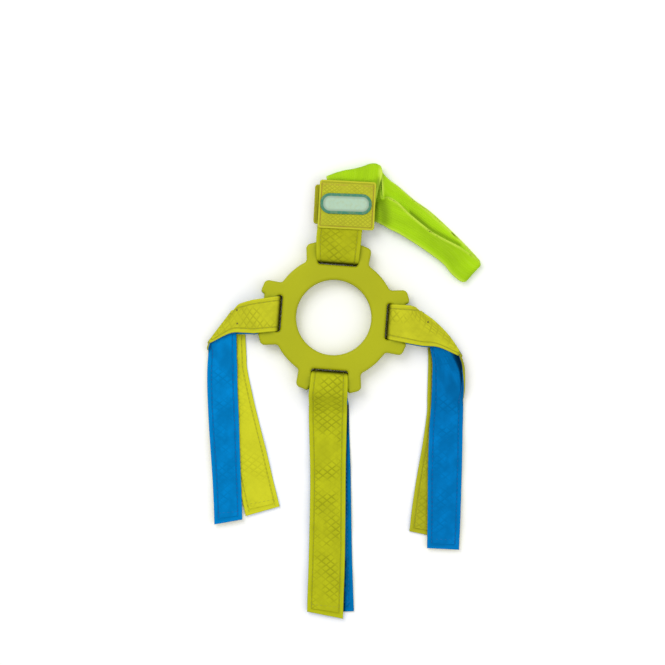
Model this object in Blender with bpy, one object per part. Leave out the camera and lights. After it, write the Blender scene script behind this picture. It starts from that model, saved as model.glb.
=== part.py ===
"""A tug toy: a moulded rubber ring, three double cloth straps, and a folded elastic handle on a patch."""

import math

import bmesh
import bpy
import numpy as np

# Rubber ring
ring_across = 0.1024
ring_thick = 0.009
ring_round = 0.0022
hole_wall = 0.00935
lobe_reach = 0.0087
bar_width = 0.009
bar_setback = 0.0027
shoulder_ramp = 0.001
shoulder_slope = 0.003
lobe_post = 0.0088
lobe_taper = 0.0013
ramp_foot_radius = 0.0006
ramp_top_radius = 0.0023
shoulder_radius = 0.0035
neck_radius = 0.003
ring_turn = math.radians(-4.3)

# Cloth straps
strap_width = 0.025
strap_loop_width = 0.0252
face_thick = 0.0007
lining_thick = 0.0006
ply_gap = 0.0003
layer_gap = 0.0003
bar_gap = 0.0003
slot_slack = 0.0016
slot_side_gap = 0.0011
loop_lead = 0.0062
west_loop_share = 0.96
east_loop_share = 0.95
south_loop_share = 1.0
tab_loop_share = 1.0
joint_gap = 0.0003

# Patch and elastic handle
webbing_width = 0.038
webbing_thick = 0.0013
folded_thick = 0.0029
patch_width = 0.0386
patch_height = 0.033
patch_corner = 0.002
patch_thick = 0.0008
patch_turn = math.radians(-3.0)
patch_peek = 0.0038
patch_back_height = 0.027
label_width = 0.035
label_height = 0.014
label_corner = 0.0066
label_thick = 0.0008
label_turn = math.radians(-2.0)
plate_rim_share = 0.2
arc_shares = (0.28, 0.39, 0.5, 0.61, 0.72)

weld_reach = 0.000001

# Fits that follow from the sizes above
band_thick = face_thick + ply_gap + lining_thick
half_band = band_thick / 2
pitch = band_thick + layer_gap
half_bar = bar_width / 2
half_thick = ring_thick / 2
corner_reach = math.hypot(half_bar - ring_round, half_thick - ring_round) + ring_round
loop_inner = corner_reach + bar_gap
loop_mid = loop_inner + half_band
bar_z = loop_inner + band_thick
bar_outer = ring_across / 2 - bar_setback
bar_radius = bar_outer - half_bar
slot_width = loop_inner - half_bar + band_thick + slot_slack
slot_half = strap_loop_width / 2 + slot_side_gap
lobe_half = slot_half + lobe_post
slot_radius = bar_radius - half_bar - slot_width / 2
hole_radius = slot_radius - slot_width / 2 - hole_wall
body_radius = ring_across / 2 - lobe_reach
bar_top = bar_z + loop_mid
run_pitch = folded_thick + layer_gap
patch_back_z = folded_thick + run_pitch + layer_gap + patch_thick / 2
tab_back_z = patch_back_z + patch_thick / 2 + layer_gap + half_band
tab_front_z = tab_back_z + pitch
patch_front_z = tab_front_z + half_band + layer_gap + patch_thick / 2
label_z = patch_front_z + patch_thick / 2 + layer_gap + label_thick / 2
back_panel_z = patch_back_z + patch_thick / 2 + layer_gap + webbing_thick / 2
front_panel_z = back_panel_z + webbing_thick + layer_gap

north, west, south, east = (math.radians(90 * turn) + ring_turn for turn in (1, 2, 3, 4))

# Rows of the bands: centre in shares of the ring's width, half the crossing and the bow of its
# middle in shares of the strap's width, layer counted from the floor, climb to the bar at each edge
west_front_shares = (
    (-0.5371, 0.0063, 0.0160, -0.4580, 0.000, 3, 0.92, 0.92),
    (-0.5957, 0.0015, -0.0200, -0.4220, 0.000, 3, 0.5, 0.5),
    (-0.6650, -0.0093, -0.1160, -0.3940, 0.000, 3, 0.1, 0.1),
    (-0.7598, -0.0488, -0.3320, -0.4240, 0.000, 3, 0, 0),
)
west_front_root_shares = (
    (-0.7456, -0.1426, -0.3820, -0.2240, 0.000, 2, 0, 0),
    (-0.7446, -0.2036, -0.3900, -0.0940, 0.000, 1.3, 0, 0),
    (-0.7451, -0.2637, -0.3960, 0.0000, 0.000, 1, 0, 0),
)
west_front_tail_shares = (
    (-0.7461, -0.3418, -0.4120, 0.0000, 0.000, 1, 0, 0),
    (-0.7451, -0.4688, -0.4160, 0.0000, 0.000, 1, 0, 0),
    (-0.7354, -0.7031, -0.4160, 0.0000, 0.000, 1, 0, 0),
    (-0.7202, -1.0059, -0.3940, 0.0000, 0.000, 1, 0, 0),
    (-0.7100, -1.2207, -0.3880, 0.0000, 0.000, 1, 0, 0),
    (-0.7051, -1.3682, -0.3840, -0.0680, 0.000, 1, 0, 0),
)
west_back_shares = (
    (-0.5356, 0.0000, 0.0140, -0.4640, 0.000, 0.15, 0, 0),
    (-0.5908, -0.0059, -0.0200, -0.4320, 0.000, 0.8, 0, 0),
    (-0.6475, -0.0146, -0.1480, -0.4200, 0.000, 1, 0, 0),
    (-0.7290, -0.0449, -0.3740, -0.4840, 0.000, 1, 0, 0),
)
west_back_root_shares = (
    (-0.7031, -0.1440, -0.4400, -0.2700, 0.000, 0, 0, 0),
    (-0.6982, -0.2637, -0.4680, 0.0000, 0.000, 0, 0, 0),
)
west_back_tail_shares = (
    (-0.6895, -0.3516, -0.4560, 0.0000, 0.000, 0, 0, 0),
    (-0.6519, -0.5469, -0.4700, 0.0000, 0.000, 0, 0, 0),
    (-0.6050, -0.7520, -0.4820, 0.0000, 0.000, 0, 0, 0),
    (-0.5669, -0.9082, -0.4900, 0.0000, 0.000, 0, 0, 0),
    (-0.5244, -1.0938, -0.4920, 0.0000, 0.000, 0, 0, 0),
    (-0.4756, -1.2979, -0.4680, -0.1320, 0.000, 0, 0, 0),
)
east_front_shares = (
    (0.5137, -0.0479, -0.0160, 0.5280, 0.000, 3, 0.93, 0.95),
    (0.5596, -0.0586, -0.1480, 0.5560, 0.000, 3, 0.5, 0.86),
    (0.6201, -0.0708, -0.3400, 0.5820, 0.040, 3, 0.1, 0.72),
    (0.7246, -0.1221, -0.5920, 0.7000, 0.128, 3, 0, 0.5),
)
east_front_root_shares = (
    (0.7451, -0.2295, -0.5320, 0.5800, 0.060, 2, 0, 0.3),
    (0.7642, -0.3564, -0.4420, 0.3800, 0.000, 2, 0, 0),
    (0.7637, -0.4639, -0.4320, 0.1800, 0.000, 1.3, 0, 0),
    (0.7612, -0.5566, -0.4380, 0.0000, 0.000, 1, 0, 0),
)
east_front_tail_shares = (
    (0.7578, -0.6348, -0.4480, 0.0000, 0.000, 1, 0, 0),
    (0.7505, -0.7812, -0.4620, 0.0000, 0.000, 1, 0, 0),
    (0.7446, -1.0254, -0.4660, 0.0000, 0.000, 1, 0, 0),
    (0.7397, -1.2891, -0.4540, 0.0000, 0.000, 1, 0, 0),
    (0.7324, -1.5493, -0.4400, 0.0220, 0.000, 1, 0, 0),
)
east_back_shares = (
    (0.5151, -0.0537, 0.0060, 0.5240, 0.000, 0.15, 0, 0),
    (0.5693, -0.0664, -0.1080, 0.5440, 0.000, 0.8, 0, 0),
    (0.6279, -0.0811, -0.2680, 0.5560, 0.000, 1, 0, 0),
    (0.7173, -0.1294, -0.5180, 0.6500, 0.104, 1, 0, 0),
)
east_back_root_shares = (
    (0.7446, -0.2832, -0.4700, 0.3600, 0.000, 0, 0, 0),
    (0.7427, -0.5566, -0.4740, 0.0000, 0.000, 0, 0, 0),
)
east_back_tail_shares = (
    (0.7388, -0.6445, -0.4700, 0.0000, 0.000, 0, 0, 0),
    (0.7124, -0.8398, -0.4740, 0.0000, 0.000, 0, 0, 0),
    (0.6768, -1.0449, -0.4760, 0.0000, 0.000, 0, 0, 0),
    (0.6450, -1.2500, -0.4780, 0.0000, 0.000, 0, 0, 0),
    (0.6196, -1.4556, -0.4620, 0.0980, 0.000, 0, 0, 0),
)
south_front_shares = (
    (-0.0381, -0.5215, 0.5320, -0.0080, 0.000, 1, 0.86, 0.86),
    (-0.0381, -0.5713, 0.5240, -0.0040, 0.000, 1, 0.42, 0.42),
    (-0.0386, -0.6250, 0.5260, 0.0000, 0.000, 1, 0.06, 0.06),
)
south_front_root_shares = (
    (-0.0391, -0.6641, 0.5240, 0.0000, 0.000, 1, 0, 0),
    (-0.0391, -0.7031, 0.5200, 0.0000, 0.000, 1, 0, 0),
)
south_front_tail_shares = (
    (-0.0391, -0.7812, 0.5120, 0.0000, 0.000, 1, 0, 0),
    (-0.0386, -1.0254, 0.4900, 0.0000, 0.000, 1, 0, 0),
    (-0.0405, -1.2891, 0.4900, 0.0000, 0.000, 1, 0, 0),
    (-0.0464, -1.6211, 0.4980, 0.0000, 0.000, 1, 0, 0),
    (-0.0542, -1.8604, 0.4980, -0.0200, 0.000, 1, 0, 0),
    (-0.0581, -1.9932, 0.4940, -0.1000, 0.000, 1, 0, 0),
)
south_back_shares = (
    (-0.0371, -0.5283, 0.5120, -0.0040, 0.000, 0, 0, 0),
    (-0.0376, -0.6250, 0.5100, 0.0000, 0.000, 0, 0, 0),
)
south_back_root_shares = (
    (-0.0352, -0.7031, 0.5160, 0.0000, 0.000, 0, 0, 0),
)
south_back_tail_shares = (
    (-0.0273, -0.7812, 0.5120, 0.0000, 0.000, 0, 0, 0),
    (-0.0098, -1.0254, 0.5080, 0.0000, 0.000, 0, 0, 0),
    (-0.0059, -1.2891, 0.5080, 0.0000, 0.000, 0, 0, 0),
    (0.0005, -1.6211, 0.5060, 0.0000, 0.000, 0, 0, 0),
    (0.0117, -1.9722, 0.5080, 0.0140, 0.000, 0, 0, 0),
)
north_front_shares = (
    (0.0337, 0.5225, -0.6140, 0.0360, 0.000, 0, 0.74, 0.74),
    (0.0366, 0.5527, -0.6140, 0.0320, 0.000, 0, 0.3, 0.3),
    (0.0396, 0.5801, -0.6140, 0.0320, 0.000, 0, 0.02, 0.02),
    (0.0430, 0.6328, -0.6160, 0.0320, 0.000, 0, 0, 0),
    (0.0479, 0.7207, -0.6120, 0.0320, 0.000, 0, 0, 0),
)
north_back_shares = (
    (0.0337, 0.5225, -0.5980, 0.0400, 0.000, 0, 0.93, 0.93),
    (0.0391, 0.5615, -0.5960, 0.0360, 0.000, 0, 0.5, 0.5),
    (0.0420, 0.5996, -0.6000, 0.0320, 0.000, 0, 0.05, 0.05),
    (0.0435, 0.6426, -0.6020, 0.0320, 0.000, 0, 0, 0),
    (0.0479, 0.7109, -0.5960, 0.0320, 0.000, 0, 0, 0),
)

# Rows of the webbing: centre in shares of the ring's width, half the crossing in shares of the
# webbing's width, thickness in shares of the webbing's thickness
crease_shares = (
    (0.1309, 0.9868, 0.4895, 0.1145, 1),
)
front_run_shares = (
    (0.1533, 0.8960, 0.4395, 0.1513, 1.2),
    (0.2012, 0.8008, 0.3316, 0.1711, 1.6),
    (0.2646, 0.7402, 0.2132, 0.1789, 2.0),
    (0.3540, 0.7080, 0.1118, 0.2395, 2.23),
    (0.4722, 0.6289, 0.0855, 0.1868, 2.23),
    (0.6060, 0.5317, 0.1039, 0.1434, 2.23),
    (0.7534, 0.4429, 0.1276, 0.1539, 2.23),
)
back_run_shares = (
    (0.1729, 0.9219, 0.4132, 0.1421, 1.2),
    (0.2510, 0.8701, 0.3079, 0.1605, 1.6),
    (0.3428, 0.8130, 0.2395, 0.1776, 2.0),
    (0.4399, 0.7402, 0.1724, 0.2132, 2.23),
    (0.5859, 0.6328, 0.1684, 0.2079, 2.23),
    (0.7310, 0.5010, 0.1645, 0.2026, 2.23),
)
front_end_shares = (
    (0.8179, 0.3916, 0.1724, 0.1500, 2.23),
)
back_end_shares = (
    (0.8169, 0.4141, 0.1750, 0.1895, 2.23),
)
far_crease_shares = (
    (0.9346, 0.2930, 0.1789, 0.1921, 2.23),
)

patch_share = (0.0884, 0.7490)
label_share = (0.0820, 0.7560)

# Where each strap's tails bend, in shares of the ring's width
west_bend_share = -0.2637
east_bend_share = -0.5566
south_bend_share = -0.7031
root_length_share = 0.0781

ring_colour = (0.45, 0.48, 0.03, 1.0)
green_colour = (0.58, 0.62, 0.03, 1.0)
blue_colour = (0.0, 0.18, 0.55, 1.0)
lime_colour = (0.33, 0.68, 0.01, 1.0)
patch_colour = (0.48, 0.48, 0.03, 1.0)
amber_colour = (0.75, 0.42, 0.05, 1.0)
mint_colour = (0.55, 0.78, 0.62, 1.0)


def clear_file():
    """Remove everything a new file starts with."""
    for thing in list(bpy.data.objects):
        bpy.data.objects.remove(thing, do_unlink=True)


def material(name, colour, roughness):
    """A plain surface of one colour."""
    made = bpy.data.materials.new(name)
    made.use_nodes = True
    shader = made.node_tree.nodes["Principled BSDF"]
    shader.inputs["Base Color"].default_value = colour
    shader.inputs["Roughness"].default_value = roughness
    return made


def add_object(name, mesh, finish, parent):
    """Put a mesh in the toy's collection with its own material."""
    thing = bpy.data.objects.new(name, mesh)
    mesh.materials.clear()
    mesh.materials.append(material(f"{name}_finish", finish, 0.6))
    bpy.data.collections["tug_toy"].objects.link(thing)
    thing.parent = parent
    return thing


def rounded_corners(points, radii, steps):
    """Round each corner of a closed outline by its radius."""
    points = np.array(points, float)
    outline = []
    for index, (corner, radius) in enumerate(zip(points, radii)):
        if radius == 0:
            outline.append(corner)
            continue
        back = points[index - 1] - corner
        ahead = points[(index + 1) % len(points)] - corner
        back /= np.linalg.norm(back)
        ahead /= np.linalg.norm(ahead)
        opening = math.acos(np.clip(back @ ahead, -1, 1))
        reach = radius / math.tan(opening / 2)
        middle = back + ahead
        middle /= np.linalg.norm(middle)
        centre = corner + middle * radius / math.sin(opening / 2)
        first = corner + back * reach - centre
        last = corner + ahead * reach - centre
        for share in np.linspace(0, 1, steps + 1):
            spoke = first * (1 - share) + last * share
            outline.append(centre + spoke * radius / np.linalg.norm(spoke))
    return np.array(outline)


def turned(points, angle):
    """Turn plan points round the ring's centre."""
    cosine, sine = math.cos(angle), math.sin(angle)
    return np.array(points) @ np.array(((cosine, sine), (-sine, cosine)))


def lobe_outline(angle):
    """One lobe with its bar recess, two shoulders, and the arc on to the next lobe."""
    neck = lobe_half - lobe_taper
    neck_out = math.sqrt(body_radius**2 - neck**2)
    half = (
        (bar_outer, slot_half - shoulder_ramp, ramp_foot_radius),
        (ring_across / 2, slot_half, ramp_top_radius),
        (ring_across / 2 - shoulder_slope, lobe_half, shoulder_radius),
        (neck_out, neck, neck_radius),
    )
    corners = [(out, -side) for out, side, _ in reversed(half)] + [(out, side) for out, side, _ in half]
    radii = [radius for *_, radius in reversed(half)] + [radius for *_, radius in half]
    start = math.atan2(neck, neck_out)
    for share in arc_shares:
        bearing = start + (math.pi / 2 - 2 * start) * share
        corners.append((body_radius * math.cos(bearing), body_radius * math.sin(bearing)))
        radii.append(0)
    return turned(corners, angle), radii


def circle(radius, steps):
    """A closed round outline."""
    bearings = np.arange(steps) * 2 * math.pi / steps
    return np.column_stack((radius * np.cos(bearings), radius * np.sin(bearings)))


def slot_outline(angle):
    """The long slot with round ends that a strap passes through."""
    round_end = slot_width / 2
    straight = slot_half - round_end
    outline = []
    for side, start in ((1, 0), (-1, math.pi)):
        for bearing in np.linspace(start, start + math.pi, 7):
            outline.append(
                (slot_radius + round_end * math.cos(bearing), side * straight + round_end * math.sin(bearing))
            )
    return turned(outline, angle)


def add_spline(curve, outline):
    """Add a closed outline to a flat curve."""
    spline = curve.splines.new("POLY")
    spline.points.add(len(outline) - 1)
    flat = np.zeros((len(outline), 4))
    flat[:, :2] = outline
    flat[:, 3] = 1
    spline.points.foreach_set("co", flat.ravel())
    spline.use_cyclic_u = True


def slab_mesh(name, outlines, thick, rounding, steps):
    """A filled outline with holes, given thickness and rounded rims."""
    curve = bpy.data.curves.new(name, "CURVE")
    curve.dimensions = "2D"
    curve.fill_mode = "BOTH"
    for outline in outlines:
        add_spline(curve, outline)
    curve.extrude = thick / 2 - rounding
    curve.bevel_depth = rounding
    curve.bevel_resolution = steps
    curve.offset = -rounding
    carrier = bpy.data.objects.new(name, curve)
    bpy.data.collections["tug_toy"].objects.link(carrier)
    graph = bpy.context.evaluated_depsgraph_get()
    mesh = bpy.data.meshes.new_from_object(carrier.evaluated_get(graph))
    bpy.data.objects.remove(carrier, do_unlink=True)
    tidy = bmesh.new()
    tidy.from_mesh(mesh)
    bmesh.ops.remove_doubles(tidy, verts=tidy.verts, dist=weld_reach)
    bmesh.ops.recalc_face_normals(tidy, faces=tidy.faces)
    tidy.to_mesh(mesh)
    tidy.free()
    return mesh


def make_ring(parent):
    """The moulded ring, with a round hole and a strap slot behind each of its four bars."""
    corners, radii = [], []
    for angle in (north, west, south, east):
        points, rounds = lobe_outline(angle)
        corners.extend(points)
        radii.extend(rounds)
    outlines = [rounded_corners(corners, radii, 4), circle(hole_radius, 56)[::-1]]
    outlines += [slot_outline(angle)[::-1] for angle in (north, west, south, east)]
    mesh = slab_mesh("rubber_ring", outlines, ring_thick, ring_round, 2)
    ring = add_object("rubber_ring", mesh, ring_colour, parent)
    ring.location.z = bar_z
    return ring


def plan_rows(table, base, climb):
    """Rows of a cloth band, each of a left, a middle and a right point seen towards the ring."""
    table = np.array(table, float)
    centre = table[:, 0:2] * ring_across
    half = table[:, 2:4] * strap_width
    across = half / np.linalg.norm(half, axis=1, keepdims=True)
    outward = np.column_stack((-across[:, 1], across[:, 0]))
    bow = outward * np.abs(table[:, 4:5]) * strap_width
    flat = np.where((bow * centre).sum(axis=1, keepdims=True) < 0, -bow, bow)
    height = base + table[:, 5] * pitch
    left = np.column_stack((centre - half, height + table[:, 6] * climb))
    right = np.column_stack((centre + half, height + table[:, 7] * climb))
    middle = (left + right) / 2
    middle[:, :2] += flat
    return np.stack((left, middle, right), axis=1)


def smooth(rows, steps):
    """Rows filled in along a smooth path through those given."""
    rows = np.array(rows)
    before = 2 * rows[:1] - rows[1:2]
    after = 2 * rows[-1:] - rows[-2:-1]
    known = np.concatenate((before, rows, after))
    filled = []
    for index in range(1, len(known) - 2):
        first, start, end, last = known[index - 1 : index + 3]
        for step in range(steps):
            share = step / steps
            filled.append(
                start
                + (end - first) * share / 2
                + (2 * first - 5 * start + 4 * end - last) * share**2 / 2
                + (3 * start - first - 3 * end + last) * share**3 / 2
            )
    filled.append(known[-2])
    return np.array(filled)


def away_from(row, before):
    """The level direction square to a row that points away from the row before it."""
    along = row[2] - row[0]
    away = np.array((-along[1], along[0], 0.0))
    away /= np.linalg.norm(away)
    if away @ (row[1] - before[1]) < 0:
        away = -away
    return away


def fold(row, away, drop, steps=4):
    """Rows that turn a band under along a crease, down by the drop."""
    radius = drop / 2
    turned_rows = []
    for bearing in np.linspace(math.pi / 2, -math.pi / 2, steps + 1):
        shift = away * radius * math.cos(bearing)
        shift = shift + np.array((0, 0, radius * math.sin(bearing) - radius))
        turned_rows.append(row + shift)
    return turned_rows


def creased(rows, drop, thick):
    """A band's rows with the last one brought in and folded under, and the rows of the fold."""
    away = away_from(rows[-1], rows[-2])
    last = rows[-1] - away * (drop + thick) / 2
    return np.concatenate((rows[:-1], last[None])), fold(last, away, drop)


def loop_rows(angle, width_share):
    """Rows round a bar, from above it through the slot to below it."""
    outward = np.array((math.cos(angle), math.sin(angle), 0.0))
    left = np.array((math.sin(angle), -math.cos(angle), 0.0)) * strap_loop_width * width_share / 2
    path = [(bar_radius + loop_lead, bar_top), (bar_radius + loop_lead / 2, bar_top)]
    for bearing in np.linspace(math.pi / 2, 3 * math.pi / 2, 9):
        path.append((bar_radius + loop_mid * math.cos(bearing), bar_z + loop_mid * math.sin(bearing)))
    path.append((bar_radius + loop_lead / 2, bar_z - loop_mid))
    path.append((bar_radius + loop_lead, bar_z - loop_mid))
    rows = []
    for out, height in path:
        centre = outward * out + np.array((0, 0, height))
        rows.append((centre + left, centre, centre - left))
    return np.array(rows)


def normals(rows):
    """The direction each row point faces, square to the band."""
    ahead = np.diff(rows, axis=0)
    ahead /= np.linalg.norm(ahead, axis=2, keepdims=True)
    along = np.concatenate((ahead[:1], ahead[:-1] + ahead[1:], ahead[-1:]))
    across = np.repeat((rows[:, 2] - rows[:, 0])[:, None], rows.shape[1], axis=1)
    facing = np.cross(across, along)
    return facing / np.linalg.norm(facing, axis=2, keepdims=True)


def band_mesh(name, rows, low, high):
    """A closed solid between two offsets of a band's rows."""
    facing = normals(rows)
    low = np.broadcast_to(low, len(rows))[:, None, None]
    high = np.broadcast_to(high, len(rows))[:, None, None]
    top = rows + facing * high
    under = rows + facing * low
    count, wide = rows.shape[:2]
    points = np.concatenate((top.reshape(-1, 3), under.reshape(-1, 3)))
    index = np.arange(count * wide).reshape(count, wide)
    lower = index + count * wide
    sheet = np.stack((index[:-1, :-1], index[:-1, 1:], index[1:, 1:], index[1:, :-1]), axis=-1)
    faces = [*sheet.reshape(-1, 4).tolist(), *(sheet[..., ::-1] + count * wide).reshape(-1, 4).tolist()]
    rim = [*index[0, ::-1], *index[1:, 0], *index[-1, 1:], *index[-2:0:-1, -1]]
    rim_low = [*lower[0, ::-1], *lower[1:, 0], *lower[-1, 1:], *lower[-2:0:-1, -1]]
    for place in range(len(rim)):
        ahead = (place + 1) % len(rim)
        faces.append([int(rim[place]), int(rim[ahead]), int(rim_low[ahead]), int(rim_low[place])])
    mesh = bpy.data.meshes.new(name)
    mesh.from_pydata(points.tolist(), [], faces)
    tidy = bmesh.new()
    tidy.from_mesh(mesh)
    bmesh.ops.recalc_face_normals(tidy, faces=tidy.faces)
    tidy.to_mesh(mesh)
    tidy.free()
    return mesh


def add_band(name, rows, parent):
    """A green face and a blue lining, sewn together along the same rows."""
    face = band_mesh(f"{name}_face", rows, half_band - face_thick, half_band)
    add_object(f"{name}_face", face, green_colour, parent)
    lining = band_mesh(f"{name}_lining", rows, -half_band, lining_thick - half_band)
    add_object(f"{name}_lining", lining, blue_colour, parent)


def with_end(rows, level_y):
    """Rows cut off so that the last lies along one level line of the plan."""
    rows = rows.copy()
    rows[-1, :, 1] = level_y
    return rows


def with_start(rows, level_y):
    """Rows cut off so that the first lies along one level line of the plan."""
    rows = rows.copy()
    rows[0, :, 1] = level_y
    return rows


def half_strap(table, root_table, base, climb, bend_y, creases):
    """One half of a strap from its bar outwards to the line where its tail bends."""
    rows = plan_rows(table, base, climb)
    root = plan_rows(root_table, base, climb)
    root = with_end(root, bend_y + joint_gap / 2)
    if not creases:
        return smooth(np.concatenate((rows, root)), 3)
    rows, bend = creased(rows, pitch, band_thick)
    under = smooth(np.concatenate((bend[-1:], root)), 3)
    return np.concatenate((smooth(rows, 3), np.array(bend[1:-1]), under))


def make_strap(side, angle, width_share, stack, tables, bend_share, creases, parent):
    """A strap looped round its bar, both halves folded over, and the pair of tails below."""
    front, front_root, front_tail, back, back_root, back_tail = tables
    bend_y = bend_share * ring_across
    split_y = bend_y - root_length_share * ring_across
    climb = bar_top - half_band - stack * pitch
    upper = half_strap(front, front_root, half_band, climb, bend_y, creases)
    lower = half_strap(back, back_root, half_band, climb, bend_y, creases)
    path = np.concatenate((upper[::-1], loop_rows(angle, width_share), lower))
    add_band(f"strap_{side}", path, parent)

    tail = plan_rows(front_tail, half_band, climb)
    top = plan_rows(front_root, half_band, climb)[-1:]
    root = np.concatenate((with_start(top, bend_y - joint_gap / 2), tail[:1]))
    root = with_end(root, split_y + joint_gap / 2)
    add_band(f"front_root_{side}", smooth(root, 2)[::-1], parent)
    tail = with_start(tail, split_y - joint_gap / 2)
    add_band(f"front_tail_{side}", smooth(tail, 2)[::-1], parent)
    low = plan_rows(back_tail, half_band, climb)
    top = plan_rows(back_root, half_band, climb)[-1:]
    low = np.concatenate((with_start(top, bend_y - joint_gap / 2), low))
    add_band(f"back_tail_{side}", smooth(low, 2), parent)


def make_tab(parent):
    """The top strap, looped round its bar with both ends sewn into the patch."""
    upper = smooth(plan_rows(north_front_shares, tab_front_z, bar_top - tab_front_z), 3)
    lower = smooth(plan_rows(north_back_shares, tab_back_z, bar_z - loop_mid - tab_back_z), 3)
    path = np.concatenate((upper[::-1], loop_rows(north, tab_loop_share), lower))
    add_band("tab_strap", path, parent)


def plate(name, width, height, thick, corner, place, turn, level, colour, parent):
    """A flat sewn plate with rounded corners."""
    across, up = width / 2, height / 2
    corners = ((across, up), (-across, up), (-across, -up), (across, -up))
    outline = rounded_corners(corners, (corner,) * 4, 5)
    mesh = slab_mesh(name, [turned(outline, turn)], thick, thick * plate_rim_share, 0)
    thing = add_object(name, mesh, colour, parent)
    thing.location = (place[0], place[1], level)
    return thing


def make_patch(parent):
    """The two panels of the patch and the plain label on its front."""
    place = np.array(patch_share) * ring_across
    name_place = np.array(label_share) * ring_across
    plate(
        "patch_front",
        patch_width,
        patch_height,
        patch_thick,
        patch_corner,
        place,
        patch_turn,
        patch_front_z,
        patch_colour,
        parent,
    )
    plate(
        "patch_back",
        patch_width,
        patch_back_height,
        patch_thick,
        patch_corner,
        place - np.array((patch_peek, 0)),
        patch_turn,
        patch_back_z,
        amber_colour,
        parent,
    )
    plate(
        "patch_label",
        label_width,
        label_height,
        label_thick,
        label_corner,
        name_place,
        label_turn,
        label_z,
        mint_colour,
        parent,
    )


def webbing_rows(table, level):
    """Rows of the elastic webbing at one height, and half its thickness at each."""
    table = np.array(table, float)
    centre = table[:, 0:2] * ring_across
    half = table[:, 2:4] * webbing_width
    height = np.full(len(table), level)
    left = np.column_stack((centre - half, height))
    right = np.column_stack((centre + half, height))
    return np.stack((left, (left + right) / 2, right), axis=1), table[:, 4] * webbing_thick / 2


def smooth_thick(rows, thick, steps):
    """Smoothed rows with the thickness carried along."""
    places = np.arange(len(rows))
    finer = np.linspace(0, len(rows) - 1, (len(rows) - 1) * steps + 1)
    return smooth(rows, steps), np.interp(finer, places, thick)


def add_webbing(name, rows, half, parent):
    """A length of elastic webbing along its rows."""
    add_object(name, band_mesh(name, rows, -half, half), lime_colour, parent)


def make_handle(parent):
    """The elastic loop: two ends in the patch, two runs folded behind it, and the far end."""
    crease, _ = webbing_rows(crease_shares, front_panel_z)
    patch_place = np.append(np.array(patch_share) * ring_across, front_panel_z)
    away = away_from(crease[0], np.array((patch_place,) * 3))
    runs = (
        ("back", front_panel_z, folded_thick / 2, back_run_shares, back_end_shares),
        ("front", back_panel_z, folded_thick / 2 + run_pitch, front_run_shares, front_end_shares),
    )
    centre_line = crease[0] - away * (front_panel_z - folded_thick / 2 + webbing_thick) / 2
    far_rows = {}
    for name, upper, level, table, end_table in runs:
        start = centre_line.copy()
        start[:, 2] = upper
        bend = fold(start, away, upper - level, 6)
        rows, half = webbing_rows(table, level)
        rows, half = smooth_thick(
            np.concatenate((bend[-1:], rows)), np.append(webbing_thick / 2, half), 3
        )
        rows = np.concatenate((np.array(bend[:-1]), rows))
        half = np.append(np.full(len(bend) - 1, webbing_thick / 2), half)
        add_webbing(f"handle_{name}_run", rows, half, parent)
        near = rows[-1] - rows[-2]
        near = near / np.linalg.norm(near[1])
        far_rows[name] = (rows[-1] + near * joint_gap, webbing_rows(end_table, level)[0][0])
        panel_name = "handle_front_panel" if name == "back" else "handle_back_panel"
        add_panel(panel_name, start, away, upper, parent)
    far, _ = webbing_rows(far_crease_shares, folded_thick / 2 + run_pitch)
    front = np.stack((*far_rows["front"], far[0]))
    front, bend = creased(front, run_pitch, folded_thick)
    back = np.stack((*far_rows["back"], bend[-1]))
    path = np.concatenate((smooth(front, 3), np.array(bend[1:-1]), smooth(back, 3)[::-1]))
    add_webbing("handle_end", path, folded_thick / 2, parent)


def add_panel(name, crease, away, level, parent):
    """A flat end of the webbing, from the fold line down into the patch."""
    place = np.array(patch_share) * ring_across
    across = np.array((math.cos(patch_turn), math.sin(patch_turn))) * webbing_width / 2
    low = np.append(place, level)
    side = np.append(across, 0)
    foot = np.stack((low - side, low, low + side))
    head = crease - away * joint_gap
    rows = smooth(np.stack((foot, (foot + head) / 2, head)), 2)
    add_webbing(name, rows, webbing_thick / 2, parent)


def main():
    """Build the toy on its back on the floor, centred on the middle of its footprint."""
    clear_file()
    toy = bpy.data.collections.new("tug_toy")
    bpy.context.scene.collection.children.link(toy)
    root = bpy.data.objects.new("toy_frame", None)
    toy.objects.link(root)
    make_ring(root)
    west_tables = (
        west_front_shares,
        west_front_root_shares,
        west_front_tail_shares,
        west_back_shares,
        west_back_root_shares,
        west_back_tail_shares,
    )
    east_tables = (
        east_front_shares,
        east_front_root_shares,
        east_front_tail_shares,
        east_back_shares,
        east_back_root_shares,
        east_back_tail_shares,
    )
    south_tables = (
        south_front_shares,
        south_front_root_shares,
        south_front_tail_shares,
        south_back_shares,
        south_back_root_shares,
        south_back_tail_shares,
    )
    make_strap("west", west, west_loop_share, 3, west_tables, west_bend_share, True, root)
    make_strap("east", east, east_loop_share, 3, east_tables, east_bend_share, True, root)
    make_strap("south", south, south_loop_share, 1, south_tables, south_bend_share, False, root)
    make_tab(root)
    make_patch(root)
    make_handle(root)
    centre_footprint(root)


def centre_footprint(root):
    """Shift the toy so that the middle of its footprint is the origin."""
    bpy.context.view_layer.update()
    corners = []
    for thing in bpy.data.collections["tug_toy"].objects:
        if thing.type == "MESH":
            points = np.empty(len(thing.data.vertices) * 3)
            thing.data.vertices.foreach_get("co", points)
            place = np.array(thing.matrix_world.translation)
            corners.append(points.reshape(-1, 3) + place)
    cloud = np.concatenate(corners)
    middle = (cloud.min(axis=0) + cloud.max(axis=0)) / 2
    root.location = (-middle[0], -middle[1], -cloud[:, 2].min())


main()
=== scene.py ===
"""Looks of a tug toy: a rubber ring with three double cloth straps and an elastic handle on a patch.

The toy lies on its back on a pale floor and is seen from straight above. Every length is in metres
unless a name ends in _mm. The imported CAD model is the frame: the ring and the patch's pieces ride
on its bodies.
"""

from __future__ import annotations

import logging
import math
from dataclasses import dataclass, field
from typing import Callable

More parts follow.
